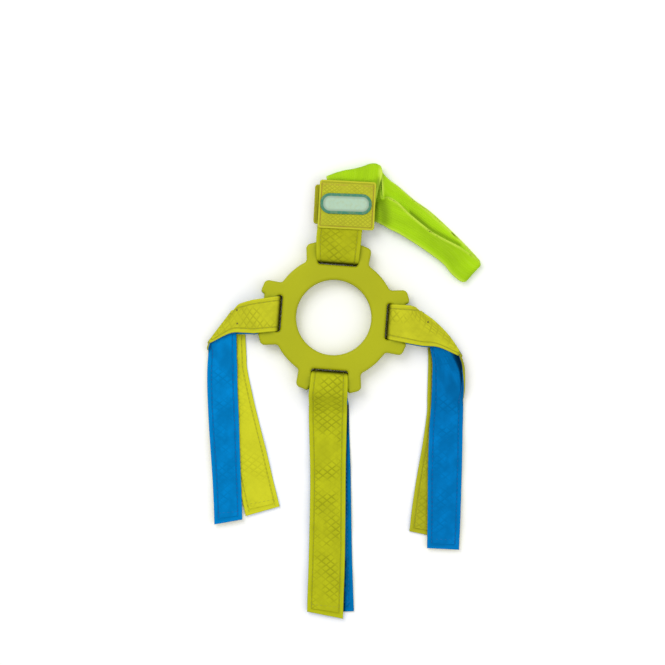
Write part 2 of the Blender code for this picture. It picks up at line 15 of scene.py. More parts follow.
import bmesh
import bpy
import numpy as np
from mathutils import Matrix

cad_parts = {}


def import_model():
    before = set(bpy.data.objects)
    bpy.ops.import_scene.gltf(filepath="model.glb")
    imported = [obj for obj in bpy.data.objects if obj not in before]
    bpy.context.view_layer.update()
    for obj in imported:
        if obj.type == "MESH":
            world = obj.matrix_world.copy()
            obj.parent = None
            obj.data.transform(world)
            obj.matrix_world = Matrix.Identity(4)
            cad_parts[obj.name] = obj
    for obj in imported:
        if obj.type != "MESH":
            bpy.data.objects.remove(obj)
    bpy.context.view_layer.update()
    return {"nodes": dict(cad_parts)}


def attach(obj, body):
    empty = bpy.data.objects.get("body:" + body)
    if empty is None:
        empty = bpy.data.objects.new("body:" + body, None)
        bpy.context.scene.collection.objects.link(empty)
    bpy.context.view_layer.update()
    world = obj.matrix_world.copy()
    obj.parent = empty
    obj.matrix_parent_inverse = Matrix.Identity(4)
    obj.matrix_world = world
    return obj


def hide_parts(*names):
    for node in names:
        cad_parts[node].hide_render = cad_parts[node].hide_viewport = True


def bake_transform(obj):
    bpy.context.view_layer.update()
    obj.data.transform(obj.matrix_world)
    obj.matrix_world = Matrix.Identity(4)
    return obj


logging.basicConfig(level=logging.INFO, format="%(message)s")
log = logging.getLogger("tug_toy")

MM = 0.001
RING_PLACE = np.array((-7.870, 50.602, 0.0)) * MM
RING_TURN = math.radians(-4.3)
BAND = 1.6 * MM
HALF = BAND / 2
PITCH = 1.9 * MM
BAR_RADIUS = 44.0 * MM
BAR_Z = 7.3527 * MM
LOOP_MID = 6.5527 * MM
BAR_TOP = BAR_Z + LOOP_MID
LOOP_LEAD = 6.2 * MM
SEAM = 3.0 * MM
HEM = 6.6 * MM
STITCH = 3.1 * MM
TAB_BACK_Z = 8.3 * MM
TAB_FRONT_Z = 10.2 * MM
UP = np.array((0.0, 0.0, 1.0))


# Shader arithmetic


class Shade:
    """A value or a colour in a material's node tree, on which plain arithmetic adds nodes."""

    def __init__(self, tree: bpy.types.NodeTree, socket: bpy.types.NodeSocket):
        self.tree = tree
        self.socket = socket

    def _node(self, kind: str, inputs: dict, output: int | str = 0, **settings) -> "Shade":
        """Add one node.

        Args:
            kind: Blender's name for the node.
            inputs: what goes into each input, by index or name, a number or another Shade.
            output: the output that the result reads.
            **settings: the node's own properties.

        Returns:
            The node's output.
        """
        node = self.tree.nodes.new(kind)
        for key, value in settings.items():
            setattr(node, key, value)
        for key, value in inputs.items():
            if isinstance(value, Shade):
                self.tree.links.new(value.socket, node.inputs[key])
            else:
                node.inputs[key].default_value = value
        return Shade(self.tree, node.outputs[output])

    def _math(self, operation: str, *values) -> "Shade":
        return self._node("ShaderNodeMath", dict(enumerate(values)), operation=operation)

    def __add__(self, other):
        return self._math("ADD", self, other)

    __radd__ = __add__

    def __sub__(self, other):
        return self._math("SUBTRACT", self, other)

    def __rsub__(self, other):
        return self._math("SUBTRACT", other, self)

    def __mul__(self, other):
        return self._math("MULTIPLY", self, other)

    __rmul__ = __mul__

    def __truediv__(self, other):
        return self._math("DIVIDE", self, other)

    def __rtruediv__(self, other):
        return self._math("DIVIDE", other, self)

    def __pow__(self, other):
        return self._math("POWER", self, other)

    def __neg__(self):
        return self * -1.0

    def sine(self) -> "Shade":
        return self._math("SINE", self)

    def fraction(self) -> "Shade":
        return self._math("FRACT", self)

    def absolute(self) -> "Shade":
        return self._math("ABSOLUTE", self)

    def least(self, other) -> "Shade":
        return self._math("MINIMUM", self, other)

    def most(self, other) -> "Shade":
        return self._math("MAXIMUM", self, other)

    def rise(self, low: float, high: float) -> "Shade":
        """A smooth step from 0 at low to 1 at high."""
        return self._node(
            "ShaderNodeMapRange", {0: self, 1: low, 2: high}, interpolation_type="SMOOTHSTEP"
        )

    def noise(self, scale: float, detail: float = 2.0, rough: float = 0.5) -> "Shade":
        """Noise over a vector, about 0 to 1."""
        return self._node(
            "ShaderNodeTexNoise",
            {"Vector": self, "Scale": scale, "Detail": detail, "Roughness": rough},
            0,
        )

    def stretched(self, across: float, along: float, up: float = 1.0) -> "Shade":
        """A vector scaled by a number on each axis."""
        return self._node(
            "ShaderNodeVectorMath", {0: self, 1: (across, along, up)}, operation="MULTIPLY"
        )

    def part(self, axis: str) -> "Shade":
        """One component of a vector."""
        return self._node("ShaderNodeSeparateXYZ", {0: self}, axis)

    def mixed(self, first, second, blend: str = "MIX") -> "Shade":
        """A colour between two, by this value as the factor."""
        return self._node(
            "ShaderNodeMix",
            {0: self, 6: first, 7: second},
            2,
            data_type="RGBA",
            blend_type=blend,
        )


@dataclass(frozen=True)
class Finish:
    """A surface: how it is named, coloured and built."""

    name: str
    colour: tuple[float, float, float]
    roughness: float = 0.6

    def build(self) -> bpy.types.Material:
        """Make the material, or return it if it is already made.

        Returns:
            The material.
        """
        known = bpy.data.materials.get(self.name)
        if known:
            return known
        made = bpy.data.materials.new(self.name)
        made.use_nodes = True
        tree = made.node_tree
        shader = tree.nodes["Principled BSDF"]
        shader.inputs["Base Color"].default_value = (*self.colour, 1)
        shader.inputs["Roughness"].default_value = self.roughness
        self.dress(tree, shader)
        return made

    def dress(self, tree: bpy.types.NodeTree, shader: bpy.types.Node) -> None:
        """Add the detail of this surface to its plain shader."""

    def tones(self, *shares: float) -> list[tuple[float, float, float, float]]:
        """The surface's colour at several brightnesses."""
        return [(*(channel * share for channel in self.colour), 1) for share in shares]

    @staticmethod
    def coordinate(tree: bpy.types.NodeTree, name: str) -> Shade:
        """One of the mesh's UV maps as a vector, in metres."""
        node = tree.nodes.new("ShaderNodeUVMap")
        node.uv_map = name
        return Shade(tree, node.outputs[0])

    @staticmethod
    def place(tree: bpy.types.NodeTree) -> Shade:
        """The point on the piece, in metres."""
        node = tree.nodes.new("ShaderNodeTexCoord")
        return Shade(tree, node.outputs["Object"])

    @staticmethod
    def connect(shader: bpy.types.Node, **values: Shade) -> None:
        """Link values into the shader's inputs, by their names with underscores for spaces."""
        for name, value in values.items():
            value.tree.links.new(value.socket, shader.inputs[name.replace("_", " ")])

    @staticmethod
    def relief(height: Shade, depth: float, strength: float = 1.0) -> Shade:
        """A bumped normal whose height of 1 stands for a depth in metres."""
        return height._node(
            "ShaderNodeBump", {"Height": height, "Distance": depth, "Strength": strength}
        )


@dataclass(frozen=True)
class Cloth(Finish):
    """Thin cloth quilted in a fine diamond net, with a seam along each edge."""

    cell_across: float = 6.2 * MM
    cell_along: float = 4.9 * MM
    net: float = 0.34
    seam: float = 3.0 * MM
    seam_groove_shade: float = 0.78
    edge_tone: float = 0.95
    gloss: float = 0.12
    fold_light_and_shade: tuple[float, float] = (0.90, 1.06)
    worn: tuple[float, float] = (0.40, 0.60)

    def dress(self, tree: bpy.types.NodeTree, shader: bpy.types.Node) -> None:
        """Diamond net that comes and goes, weave, creases and folds with painted light and shade, a sunk seam with
        painted shade in its groove, a painted highlight on the rim, and the painted shade and light of the seam map.
        """
        flat = self.coordinate(tree, "cloth")
        sides = self.coordinate(tree, "seam")
        edge, shade = sides.part("X"), sides.part("Y")
        wander = flat.noise(120.0, 1.0) * (0.9 * MM)
        across, along = flat.part("X") + wander, flat.part("Y") - wander
        first = (across / self.cell_across + along / self.cell_along).fraction() - 0.5
        second = (across / self.cell_across - along / self.cell_along).fraction() - 0.5
        net = (0.5 - first.absolute()).least(0.5 - second.absolute())
        line = 1.0 - net.rise(0.0, 0.20)
        pillow = net.rise(0.0, 0.42)
        patchy = flat.noise(48.0, 2.0)
        shown = patchy.rise(*self.worn) * 0.88 + 0.12
        clear = edge.rise(self.seam, self.seam + 1.2 * MM)
        line = line * shown * clear
        tight = self.band(edge, self.seam, 0.55 * MM)
        rim = self.band(edge, 0.75 * MM, 0.9 * MM)
        creases = flat.stretched(1.0, 0.55).noise(250.0, 3.0, 0.6)
        folds = flat.stretched(1.0, 0.8).noise(95.0, 2.0)
        # Painted light and shade of the folds and creases: lighter on their ridges, darker in their hollows.
        base = folds.rise(0.28, 0.72).mixed(*self.tones(*self.fold_light_and_shade))
        base = (creases.rise(0.30, 0.50) * -0.5 + 0.5).mixed(base, self.tones(0.84)[0])
        base = (1.0 - edge.rise(0.0, self.seam)).mixed(base, self.tones(self.edge_tone)[0])
        base = line.mixed(base, self.tones(1.0 - self.net)[0])
        # Painted shade in the sunk seam's groove, and a painted highlight along the rim.
        base = tight.mixed(base, self.tones(self.seam_groove_shade)[0])
        base = (rim * 0.6).mixed(base, self.tones(1.14)[0])
        # Painted shade, and painted light where the seam map's second number is negative.
        base = shade.most(0.0).mixed(base, self.tones(0.06)[0])
        base = (-shade).most(0.0).mixed(base, self.tones(1.3)[0])
        warp = (across * (2 * math.pi / (0.62 * MM))).sine()
        weft = (along * (2 * math.pi / (0.62 * MM))).sine()
        height = warp * weft * 0.05 + pillow * shown * clear * 0.6 + rim * 0.4 - tight * 0.6
        height = height + creases * 0.9 + folds * 2.4
        self.connect(
            shader,
            Base_Color=base,
            Roughness=patchy.rise(0.2, 0.8) * 0.12 + self.roughness,
            Normal=self.relief(height, 0.42 * MM),
        )
        shader.inputs["Specular IOR Level"].default_value = self.gloss

    @staticmethod
    def band(value: Shade, centre: float, width: float) -> Shade:
        """1 on a line and 0 away from it."""
        return 1.0 - ((value - centre).absolute()).rise(width * 0.3, width)


@dataclass(frozen=True)
class Rubber(Finish):
    """Moulded rubber with a fine matt grain."""

    def dress(self, tree: bpy.types.NodeTree, shader: bpy.types.Node) -> None:
        """Slow changes of tone and a fine grain."""
        spot = self.place(tree)
        slow = spot.noise(28.0, 2.0)
        fine = spot.noise(900.0, 3.0)
        low, high = self.tones(0.95, 1.04)
        base = slow.rise(0.25, 0.75).mixed(low, high)
        base = (fine.rise(0.45, 0.8) * 0.2).mixed(base, self.tones(0.86)[0])
        self.connect(
            shader,
            Base_Color=base,
            Roughness=fine * 0.14 + (self.roughness - 0.07),
            Normal=self.relief(fine + slow * 2.0, 0.05 * MM),
        )
        shader.inputs["Specular IOR Level"].default_value = 0.22


@dataclass(frozen=True)
class Webbing(Finish):
    """Knitted elastic with fine ribs along its length and a painted highlight along its edges."""

    rib: float = 1.5 * MM
    # light is the colour of the painted highlights.
    light: tuple[float, float, float] = (0.77, 1.0, 0.10)

    def dress(self, tree: bpy.types.NodeTree, shader: bpy.types.Node) -> None:
        """Ribs, small stitches across them, painted shade between the ribs, painted streaks of sheen, a painted
        highlight along the edge, and painted shade and light from the strokes.
        """
        flat = self.coordinate(tree, "cloth")
        sides = self.coordinate(tree, "seam")
        edge, shade = sides.part("X"), sides.part("Y")
        across, along = flat.part("X"), flat.part("Y")
        ribs = (across * (2 * math.pi / self.rib)).sine()
        knit = (along * (2 * math.pi / (0.9 * MM)) + across * (2 * math.pi / (2 * self.rib))).sine()
        slow = flat.stretched(1.0, 0.3).noise(85.0, 2.0)
        sheen_streaks = flat.stretched(1.0, 0.06).noise(620.0, 2.0)
        edge_highlight = 1.0 - edge.rise(0.5 * MM, 2.4 * MM)
        low, high = self.tones(0.80, 1.06)
        base = slow.rise(0.25, 0.75).mixed(low, high)
        # Painted shade in the grooves between the ribs.
        base = ((1.0 - ribs) * 0.05).mixed(base, self.tones(0.66)[0])
        # Painted streaks of sheen and a painted highlight along the edges.
        base = (sheen_streaks.rise(0.40, 0.80) * 0.10).mixed(base, (*self.light, 1))
        base = (edge_highlight * 0.50).mixed(base, (*self.light, 1))
        # Painted shade and painted light of the handle's strokes.
        base = shade.most(0.0).mixed(base, self.tones(0.25)[0])
        base = (-shade).most(0.0).mixed(base, (*self.light, 1))
        height = ribs * 0.5 + knit * 0.22 + slow * 1.2
        self.connect(
            shader,
            Base_Color=base,
            Roughness=slow * 0.1 + self.roughness,
            Normal=self.relief(height, 0.18 * MM),
        )
        shader.inputs["Specular IOR Level"].default_value = 0.16


@dataclass(frozen=True)
class Thread(Finish):
    """Twisted sewing thread."""

    def dress(self, tree: bpy.types.NodeTree, shader: bpy.types.Node) -> None:
        """A fine twist and uneven tone."""
        spot = self.place(tree)
        twist = spot.noise(2600.0, 1.0)
        low, high = self.tones(0.8, 1.12)
        self.connect(
            shader,
            Base_Color=twist.rise(0.3, 0.7).mixed(low, high),
            Normal=self.relief(twist, 0.05 * MM),
        )


@dataclass(frozen=True)
class Film(Finish):
    """A printed plastic label, plain inside a coloured border."""

    border: tuple[float, float, float] = (0.045, 0.26, 0.16)
    border_width: float = 1.7 * MM

    def dress(self, tree: bpy.types.NodeTree, shader: bpy.types.Node) -> None:
        """The border, a soft inner edge and a light grain of the cloth below."""
        edge = self.coordinate(tree, "seam").part("X")
        flat = self.coordinate(tree, "cloth")
        grain = flat.noise(420.0, 2.0)
        inner = edge.rise(self.border_width, self.border_width + 0.5 * MM)
        halo = edge.rise(self.border_width + 0.6 * MM, self.border_width + 2.4 * MM)
        fill = halo.mixed(self.tones(0.72)[0], self.tones(1.0)[0])
        base = inner.mixed((*self.border, 1), fill)
        base = (grain.rise(0.4, 0.75) * 0.25).mixed(base, (0.50, 0.52, 0.16, 1))
        self.connect(shader, Base_Color=base, Normal=self.relief(grain, 0.08 * MM))


GREEN = Cloth("green_ripstop", (0.675, 0.685, 0.020), 0.62, net=0.25)
SHADED_GREEN = Cloth("shaded_green_ripstop", (0.585, 0.620, 0.009), 0.62)
BLUE = Cloth(
    "blue_ripstop",
    (0.0003, 0.264, 0.700),
    0.7,
    net=0.18,
    seam_groove_shade=0.84,
    edge_tone=0.92,
    gloss=0.03,
    fold_light_and_shade=(0.80, 1.10),
)
# The blue of the lining darkened as painted shade, for the east strap.
SHADED_BLUE = Cloth(
    "shaded_blue_ripstop",
    (0.0003, 0.230, 0.640),
    0.7,
    net=0.18,
    seam_groove_shade=0.84,
    edge_tone=0.92,
    gloss=0.03,
    fold_light_and_shade=(0.80, 1.12),
)
PATCH = Cloth(
    "patch_quilting",
    (0.630, 0.645, 0.034),
    0.7,
    cell_across=3.4 * MM,
    cell_along=2.6 * MM,
    net=0.26,
    seam=1.6 * MM,
    worn=(0.30, 0.55),
)
AMBER = Cloth("backing_cloth", (0.500, 0.480, 0.020), 0.7, net=0.12)
RUBBER = Rubber("moulded_rubber", (0.515, 0.540, 0.006), 0.55)
LIME = Webbing("lime_elastic", (0.508, 0.880, 0.005), 0.66)
GREEN_THREAD = Thread("green_thread", (0.50, 0.51, 0.03), 0.6)
BLUE_THREAD = Thread("blue_thread", (0.001, 0.18, 0.54), 0.6)
AMBER_THREAD = Thread("amber_thread", (0.62, 0.40, 0.05), 0.6)
TACK = Thread("tack_thread", (0.20, 0.17, 0.02), 0.6)
MINT = Film("plain_label", (0.52, 0.74, 0.55), 0.45)


# Surfaces


def add_mesh(name: str, points: np.ndarray, faces: np.ndarray, finish: Finish) -> bpy.types.Object:
    """Make a smooth-shaded object from points and four-cornered faces.

    Args:
        name: the piece's name.
        points: an array of n points.
        faces: an array of m faces of four corners.
        finish: its surface.

    Returns:
        The object, at the origin.
    """
    corner = points[faces]
    spans = np.cross(corner[:, 2] - corner[:, 0], corner[:, 3] - corner[:, 1])
    if (spans * corner.mean(axis=1)).sum() < 0:
        faces = faces[:, ::-1]
    mesh = bpy.data.meshes.new(name)
    mesh.vertices.add(len(points))
    mesh.vertices.foreach_set("co", np.asarray(points, np.float32).ravel())
    mesh.loops.add(faces.size)
    mesh.loops.foreach_set("vertex_index", faces.astype(np.int32).ravel())
    mesh.polygons.add(len(faces))
    mesh.polygons.foreach_set("loop_start", np.arange(0, faces.size, 4, dtype=np.int32))
    mesh.polygons.foreach_set("use_smooth", np.ones(len(faces), bool))
    mesh.update(calc_edges=True)
    mesh.validate()
    mesh.set_sharp_from_angle(angle=math.radians(55))
    mesh.materials.append(finish.build())
    thing = bpy.data.objects.new(name, mesh)
    bpy.context.scene.collection.objects.link(thing)
    log.info("%s: %d points", name, len(points))
    return thing


def set_map(thing: bpy.types.Object, name: str, values: np.ndarray) -> None:
    """Store two numbers at each point as a UV map."""
    loops = np.empty(len(thing.data.loops), np.int32)
    thing.data.loops.foreach_get("vertex_index", loops)
    layer = thing.data.uv_layers.new(name=name)
    layer.data.foreach_set("uv", np.asarray(values, np.float32)[loops].ravel())


def smooth(rows: np.ndarray, steps: int) -> np.ndarray:
    """Fill in between rows along a path that passes through each of them.

    The path between two rows is the cubic whose slope at each row is half the step between its
    neighbours.

    Args:
        rows: an array of any shape whose first axis runs along the path.
        steps: how many new rows each old one becomes.

    Returns:
        The longer array.
    """
    rows = np.asarray(rows, float)
    known = np.concatenate((2 * rows[:1] - rows[1:2], rows, 2 * rows[-1:] - rows[-2:-1]))
    share = (np.arange(steps) / steps).reshape(1, steps, *([1] * (rows.ndim - 1)))
    first, start, end, last = (known[i : len(known) - 3 + i][:, None] for i in range(4))
    path = (
        start
        + (end - first) * share / 2
        + (2 * first - 5 * start + 4 * end - last) * share**2 / 2
        + (3 * start - first - 3 * end + last) * share**3 / 2
    )
    return np.concatenate((path.reshape(-1, *rows.shape[1:]), rows[-1:]))


def grid_normals(points: np.ndarray) -> np.ndarray:
    """The direction each point of a grid of rows and columns faces."""
    along = np.gradient(points, axis=0)
    across = np.gradient(points, axis=1)
    facing = np.cross(across, along)
    return facing / np.maximum(np.linalg.norm(facing, axis=2, keepdims=True), 1e-12)


def closed_faces(count: int, wide: int) -> np.ndarray:
    """Faces of a closed slab between two grids of the same size, the upper one first."""
    index = np.arange(count * wide).reshape(count, wide)
    lower = index + count * wide
    top = np.stack((index[:-1, :-1], index[:-1, 1:], index[1:, 1:], index[1:, :-1]), -1)
    under = np.stack((lower[:-1, :-1], lower[1:, :-1], lower[1:, 1:], lower[:-1, 1:]), -1)
    rim = np.concatenate((index[0, ::-1], index[1:, 0], index[-1, 1:], index[-2:0:-1, -1]))
    rim_low = rim + count * wide
    ahead, ahead_low = np.roll(rim, -1), np.roll(rim_low, -1)
    sides = np.stack((rim, ahead, ahead_low, rim_low), -1)
    return np.concatenate((top.reshape(-1, 4), under.reshape(-1, 4), sides))[:, ::-1]


def ripple(points: np.ndarray, seed: int, size: float, depth: float) -> np.ndarray:
    """Slow uneven waves over points, from eight sines in directions drawn from a seed.

    Args:
        points: an array whose last axis is x, y, z.
        seed: which set of directions.
        size: the usual wavelength.
        depth: the usual height.

    Returns:
        A height at each point.
    """
    draw = np.random.default_rng(seed)
    angle = draw.uniform(0, 2 * math.pi, 8)
    pace = 2 * math.pi / (size * draw.uniform(0.6, 1.7, 8))
    phase = draw.uniform(0, 2 * math.pi, 8)
    wave = np.sin(
        points[..., 0, None] * np.cos(angle) * pace + points[..., 1, None] * np.sin(angle) * pace + phase
    )
    return wave.sum(-1) * depth / 4


@dataclass
class Band:
    """A long strip of cloth, as a grid of points: rows along it and columns across.

    Attributes:
        grid: the points, in metres in the toy's frame.
        free_start: whether the first row is a cut end that shows.
        free_end: whether the last row is.
        shade: how far each point lies in shade, from 0 to 1, or catches the light, from 0 to -1.
        along: each point's distance along the strip.
        across: each point's distance from its left edge.
    """

    grid: np.ndarray
    free_start: bool = False
    free_end: bool = False
    shade: np.ndarray | None = None
    along: np.ndarray = field(init=False)
    across: np.ndarray = field(init=False)

    @classmethod
    def laid(cls, rows: np.ndarray, columns: int = 25, **ends: bool) -> "Band":
        """A strip through rows of a left, a middle and a right point.

        Across a row the points lie on the parabola through its three, nearer together at the edges:
        at a share s the left, middle and right point weigh (1 - s)(1 - 2s), 4s(1 - s) and s(2s - 1).
        """
        even = np.linspace(0, 1, columns)
        s = (even - 0.06 * np.sin(2 * math.pi * even))[None, :, None]
        left, middle, right = (rows[:, i, None] for i in range(3))
        grid = left * (1 - s) * (1 - 2 * s) + middle * 4 * s * (1 - s) + right * s * (2 * s - 1)
        return cls(grid, **ends)

    def __post_init__(self) -> None:
        """Measure the strip."""
        middle = self.grid[:, self.grid.shape[1] // 2]
        step = np.linalg.norm(np.diff(middle, axis=0), axis=1)
        run = np.concatenate(((0.0,), np.cumsum(step)))
        self.along = np.broadcast_to(run[:, None], self.grid.shape[:2])
        width = np.linalg.norm(np.diff(self.grid, axis=1), axis=2)
        self.across = np.concatenate((np.zeros((len(self.grid), 1)), np.cumsum(width, axis=1)), axis=1)
        if self.shade is None:
            self.shade = np.zeros(self.grid.shape[:2])

    @property
    def columns(self) -> int:
        """How many points the strip has across."""
        return self.grid.shape[1]

    @property
    def width(self) -> np.ndarray:
        """How wide each row is."""
        return self.across[:, -1:]

    @property
    def edge(self) -> np.ndarray:
        """How far each point is from the nearer long edge."""
        return np.minimum(self.across, self.width - self.across)

    @property
    def end(self) -> np.ndarray:
        """How far each point is from the nearer cut end that shows."""
        far = np.full(self.grid.shape[:2], 1.0)
        if self.free_start:
            far = np.minimum(far, self.along - self.along[0, 0])
        if self.free_end:
            far = np.minimum(far, self.along[-1, 0] - self.along)
        return far

    def flat(self, span: slice = slice(None)) -> tuple[float, float]:
        """The width and the length of some rows laid flat: their area over their length, and that length."""
        grid, runs = self.grid[span], self.along[span, 0]
        side, step = np.diff(grid, axis=1)[:-1], np.diff(grid, axis=0)[:, :-1]
        length = float(runs[-1] - runs[0])
        return float(np.linalg.norm(np.cross(side, step), axis=-1).sum()) / length, length

    def rounding(self, reach: float) -> np.ndarray:
        """1 inside, falling on a quarter circle to 0 at the edges and cut ends."""
        inside = np.clip(np.minimum(self.edge, self.end) / reach, 0, 1)
        return np.sqrt(np.clip(1 - (1 - inside) ** 2, 0, 1))

    def layer(
        self, name: str, finish: Finish, low: float, high: float, seed: int, span: slice = slice(None)
    ) -> bpy.types.Object:
        """Make one layer of the strip, or of some of its rows, as a closed slab.

        Args:
            name: the piece's name.
            finish: its surface.
            low: its under side's distance from the grid, along the way it faces.
            high: its upper side's distance.
            seed: which set of small waves it has.
            span: the rows to make.

        Returns:
            The piece.
        """
        facing = grid_normals(self.grid)
        outer, inner = (high, low) if abs(high) > abs(low) else (low, high)
        dent = np.exp(-(((self.edge - SEAM) / (0.55 * MM)) ** 2)) * 0.15 * MM
        hem = np.exp(-(((self.end - HEM) / (0.6 * MM)) ** 2)) * 0.15 * MM
        spot = np.stack((self.across, self.along), -1)
        wave = ripple(spot, seed, 12 * MM, 0.10 * MM)
        pucker = np.sin(self.along * 2 * math.pi / STITCH) * np.exp(-((self.edge / SEAM) ** 2)) * 0.03 * MM
        thick = abs(outer) * (0.30 + 0.70 * self.rounding(0.9 * MM)) - dent - hem + wave * 0.5 + pucker
        thick = np.clip(thick, 0.06 * MM, abs(outer) + 0.12 * MM)
        upper = self.grid + facing * (thick * np.sign(outer))[..., None]
        under = self.grid + facing * inner
        upper, under = upper[span], under[span]
        faces = closed_faces(*upper.shape[:2])
        thing = add_mesh(name, np.concatenate((upper.reshape(-1, 3), under.reshape(-1, 3))), faces, finish)
        flat = np.stack((self.across - self.width / 2, self.along), -1)[span].reshape(-1, 2)
        # The seam map carries the distance from the edges and ends, and the painted shade, or painted light where
        # negative.
        seam = np.stack((np.minimum(self.edge, self.end), self.shade), -1)[span].reshape(-1, 2)
        set_map(thing, "cloth", np.concatenate((flat, flat)))
        set_map(thing, "seam", np.concatenate((seam, seam)))
        return thing

    def at(self, run: np.ndarray, inset: np.ndarray) -> tuple[np.ndarray, np.ndarray, np.ndarray]:
        """Points on the strip at runs along it and distances in from its left edge.

        Args:
            run: distances along the strip, an array.
            inset: distances from the left edge, or from the right one where negative.

        Returns:
            The points, the way the strip faces there and the way it runs.
        """
        facing = grid_normals(self.grid)
        ahead = np.gradient(self.grid, axis=0)
        row = np.clip(np.searchsorted(self.along[:, 0], run) - 1, 0, len(self.grid) - 2)
        gap = self.along[row + 1, 0] - self.along[row, 0]
        part = np.clip((run - self.along[row, 0]) / np.maximum(gap, 1e-9), 0, 1)[:, None]
        results = []
        for values in (self.grid, facing, ahead):
            picked = []
            for offset in (0, 1):
                line = row + offset
                reach = np.where(inset < 0, self.width[line, 0] + inset, inset)
                column = np.array(
                    [np.interp(r, self.across[i], np.arange(self.columns)) for r, i in zip(reach, line)]
                )
                low = np.clip(column.astype(int), 0, self.columns - 2)
                mix = (column - low)[:, None]
                picked.append(values[line, low] * (1 - mix) + values[line, low + 1] * mix)
            results.append(picked[0] * (1 - part) + picked[1] * part)
        point, face, ahead = results
        unit = [v / np.maximum(np.linalg.norm(v, axis=1, keepdims=True), 1e-12) for v in (face, ahead)]
        return point, unit[0], unit[1]


def stitches(
    name: str, finish: Finish, centres: np.ndarray, facing: np.ndarray, ahead: np.ndarray, length: float, radius: float
) -> bpy.types.Object:
    """Make many stitches as one piece: short spindles of thread that dip into the cloth at each end.

    Args:
        name: the piece's name.
        finish: the thread.
        centres: the middle of each stitch.
        facing: the way out of the cloth at each.
        ahead: the way each one lies.
        length: how long each is.
        radius: how thick at its middle.

    Returns:
        The piece.
    """
    side = np.cross(facing, ahead)
    rings = np.array(((-0.5, 0.35, -0.9), (-0.3, 0.95, 0.1), (0.0, 1.0, 0.35), (0.3, 0.95, 0.1), (0.5, 0.35, -0.9)))
    spokes = np.arange(6) * math.pi / 3
    ring = (
        ahead[:, None, None] * (rings[:, 0] * length)[None, :, None, None]
        + side[:, None, None] * (rings[:, 1, None] * np.cos(spokes) * radius)[None, :, :, None]
        + facing[:, None, None]
        * ((rings[:, 1, None] * np.sin(spokes) + rings[:, 2, None]) * radius)[None, :, :, None]
    )
    points = centres[:, None, None] + ring
    count = len(centres)
    base = np.arange(5 * 6).reshape(5, 6)
    around = np.roll(base, -1, axis=1)
    wall = np.stack((base[:-1], around[:-1], around[1:], base[1:]), -1).reshape(-1, 4)
    caps = np.array(((0, 3, 2, 1), (0, 5, 4, 3), (24, 25, 26, 27), (24, 27, 28, 29)))
    faces = np.concatenate((wall, caps))[:, ::-1]
    every = (faces[None] + (np.arange(count) * 30)[:, None, None]).reshape(-1, 4)
    return add_mesh(name, points.reshape(-1, 3), every, finish)


def seam_rows(band: Band, insets: tuple[float, ...], start: float, end: float, pace: float) -> tuple:
    """Where the stitches of straight seams lie along a strip, for seam insets and a range of runs."""
    runs = np.arange(start, end, pace)
    parts = [band.at(runs, np.full(len(runs), inset)) for inset in insets]
    return tuple(np.concatenate([part[i] for part in parts]) for i in range(3))


def cross_rows(band: Band, run: float, start: float, end: float, pace: float) -> tuple:
    """Where the stitches of a seam across a strip lie."""
    insets = np.arange(start, end, pace)
    point, face, ahead = band.at(np.full(len(insets), run), insets)
    return point, face, np.cross(face, ahead)


# Cloth straps


def plan_rows(table: tuple, base: float, climb: float) -> np.ndarray:
    """Rows of a strip from a table in millimetres from the ring's centre.

    Args:
        table: for each row x and y at the left, x and y at the right, how far the middle bows
            outwards, the layer counted from the floor, and the climb towards the bar at each edge.
        base: the height of layer 0.
        climb: how high a climb of 1 is.

    Returns:
        Left, middle and right points in the toy's frame.
    """
    table = np.array(table, float)
    left, right, bow = table[:, 0:2] * MM, table[:, 2:4] * MM, table[:, 4:5] * MM
    across = right - left
    across /= np.linalg.norm(across, axis=1, keepdims=True)
    outward = np.column_stack((-across[:, 1], across[:, 0])) * bow
    centre = (left + right) / 2
    outward = np.where((outward * centre).sum(1, keepdims=True) < 0, -outward, outward)
    height = base + table[:, 5] * PITCH
    rows = np.stack(
        (
            np.column_stack((left, height + table[:, 6] * climb)),
            np.column_stack((centre + outward, height + (table[:, 6] + table[:, 7]) / 2 * climb)),
            np.column_stack((right, height + table[:, 7] * climb)),
        ),
        axis=1,
    )
    return rows + RING_PLACE


def away_from(row: np.ndarray, before: np.ndarray) -> np.ndarray:
    """The level direction square to a row that points away from the row before it."""
    along = row[2] - row[0]
    away = np.array((-along[1], along[0], 0.0)) / math.hypot(along[0], along[1])
    return away if away @ (row[1] - before[1]) > 0 else -away


def fold(row: np.ndarray, away: np.ndarray, drop: float, steps: int) -> np.ndarray:
    """Rows on a half circle that turn a strip under along a crease, down by the drop."""
    angle = np.linspace(math.pi / 2, -math.pi / 2, steps + 1)[:, None, None]
    up = np.array((0.0, 0.0, 1.0))
    return row + away * (drop / 2) * np.cos(angle) + up * (drop / 2) * (np.sin(angle) - 1)


def creased(rows: np.ndarray, drop: float, thick: float, steps: int = 10) -> tuple[np.ndarray, np.ndarray]:
    """A strip's rows with the last one brought in to the crease, and the rows of the fold."""
    away = away_from(rows[-1], rows[-2])
    last = rows[-1] - away * (drop + thick) / 2
    return np.concatenate((rows[:-1], last[None])), fold(last, away, drop, steps)


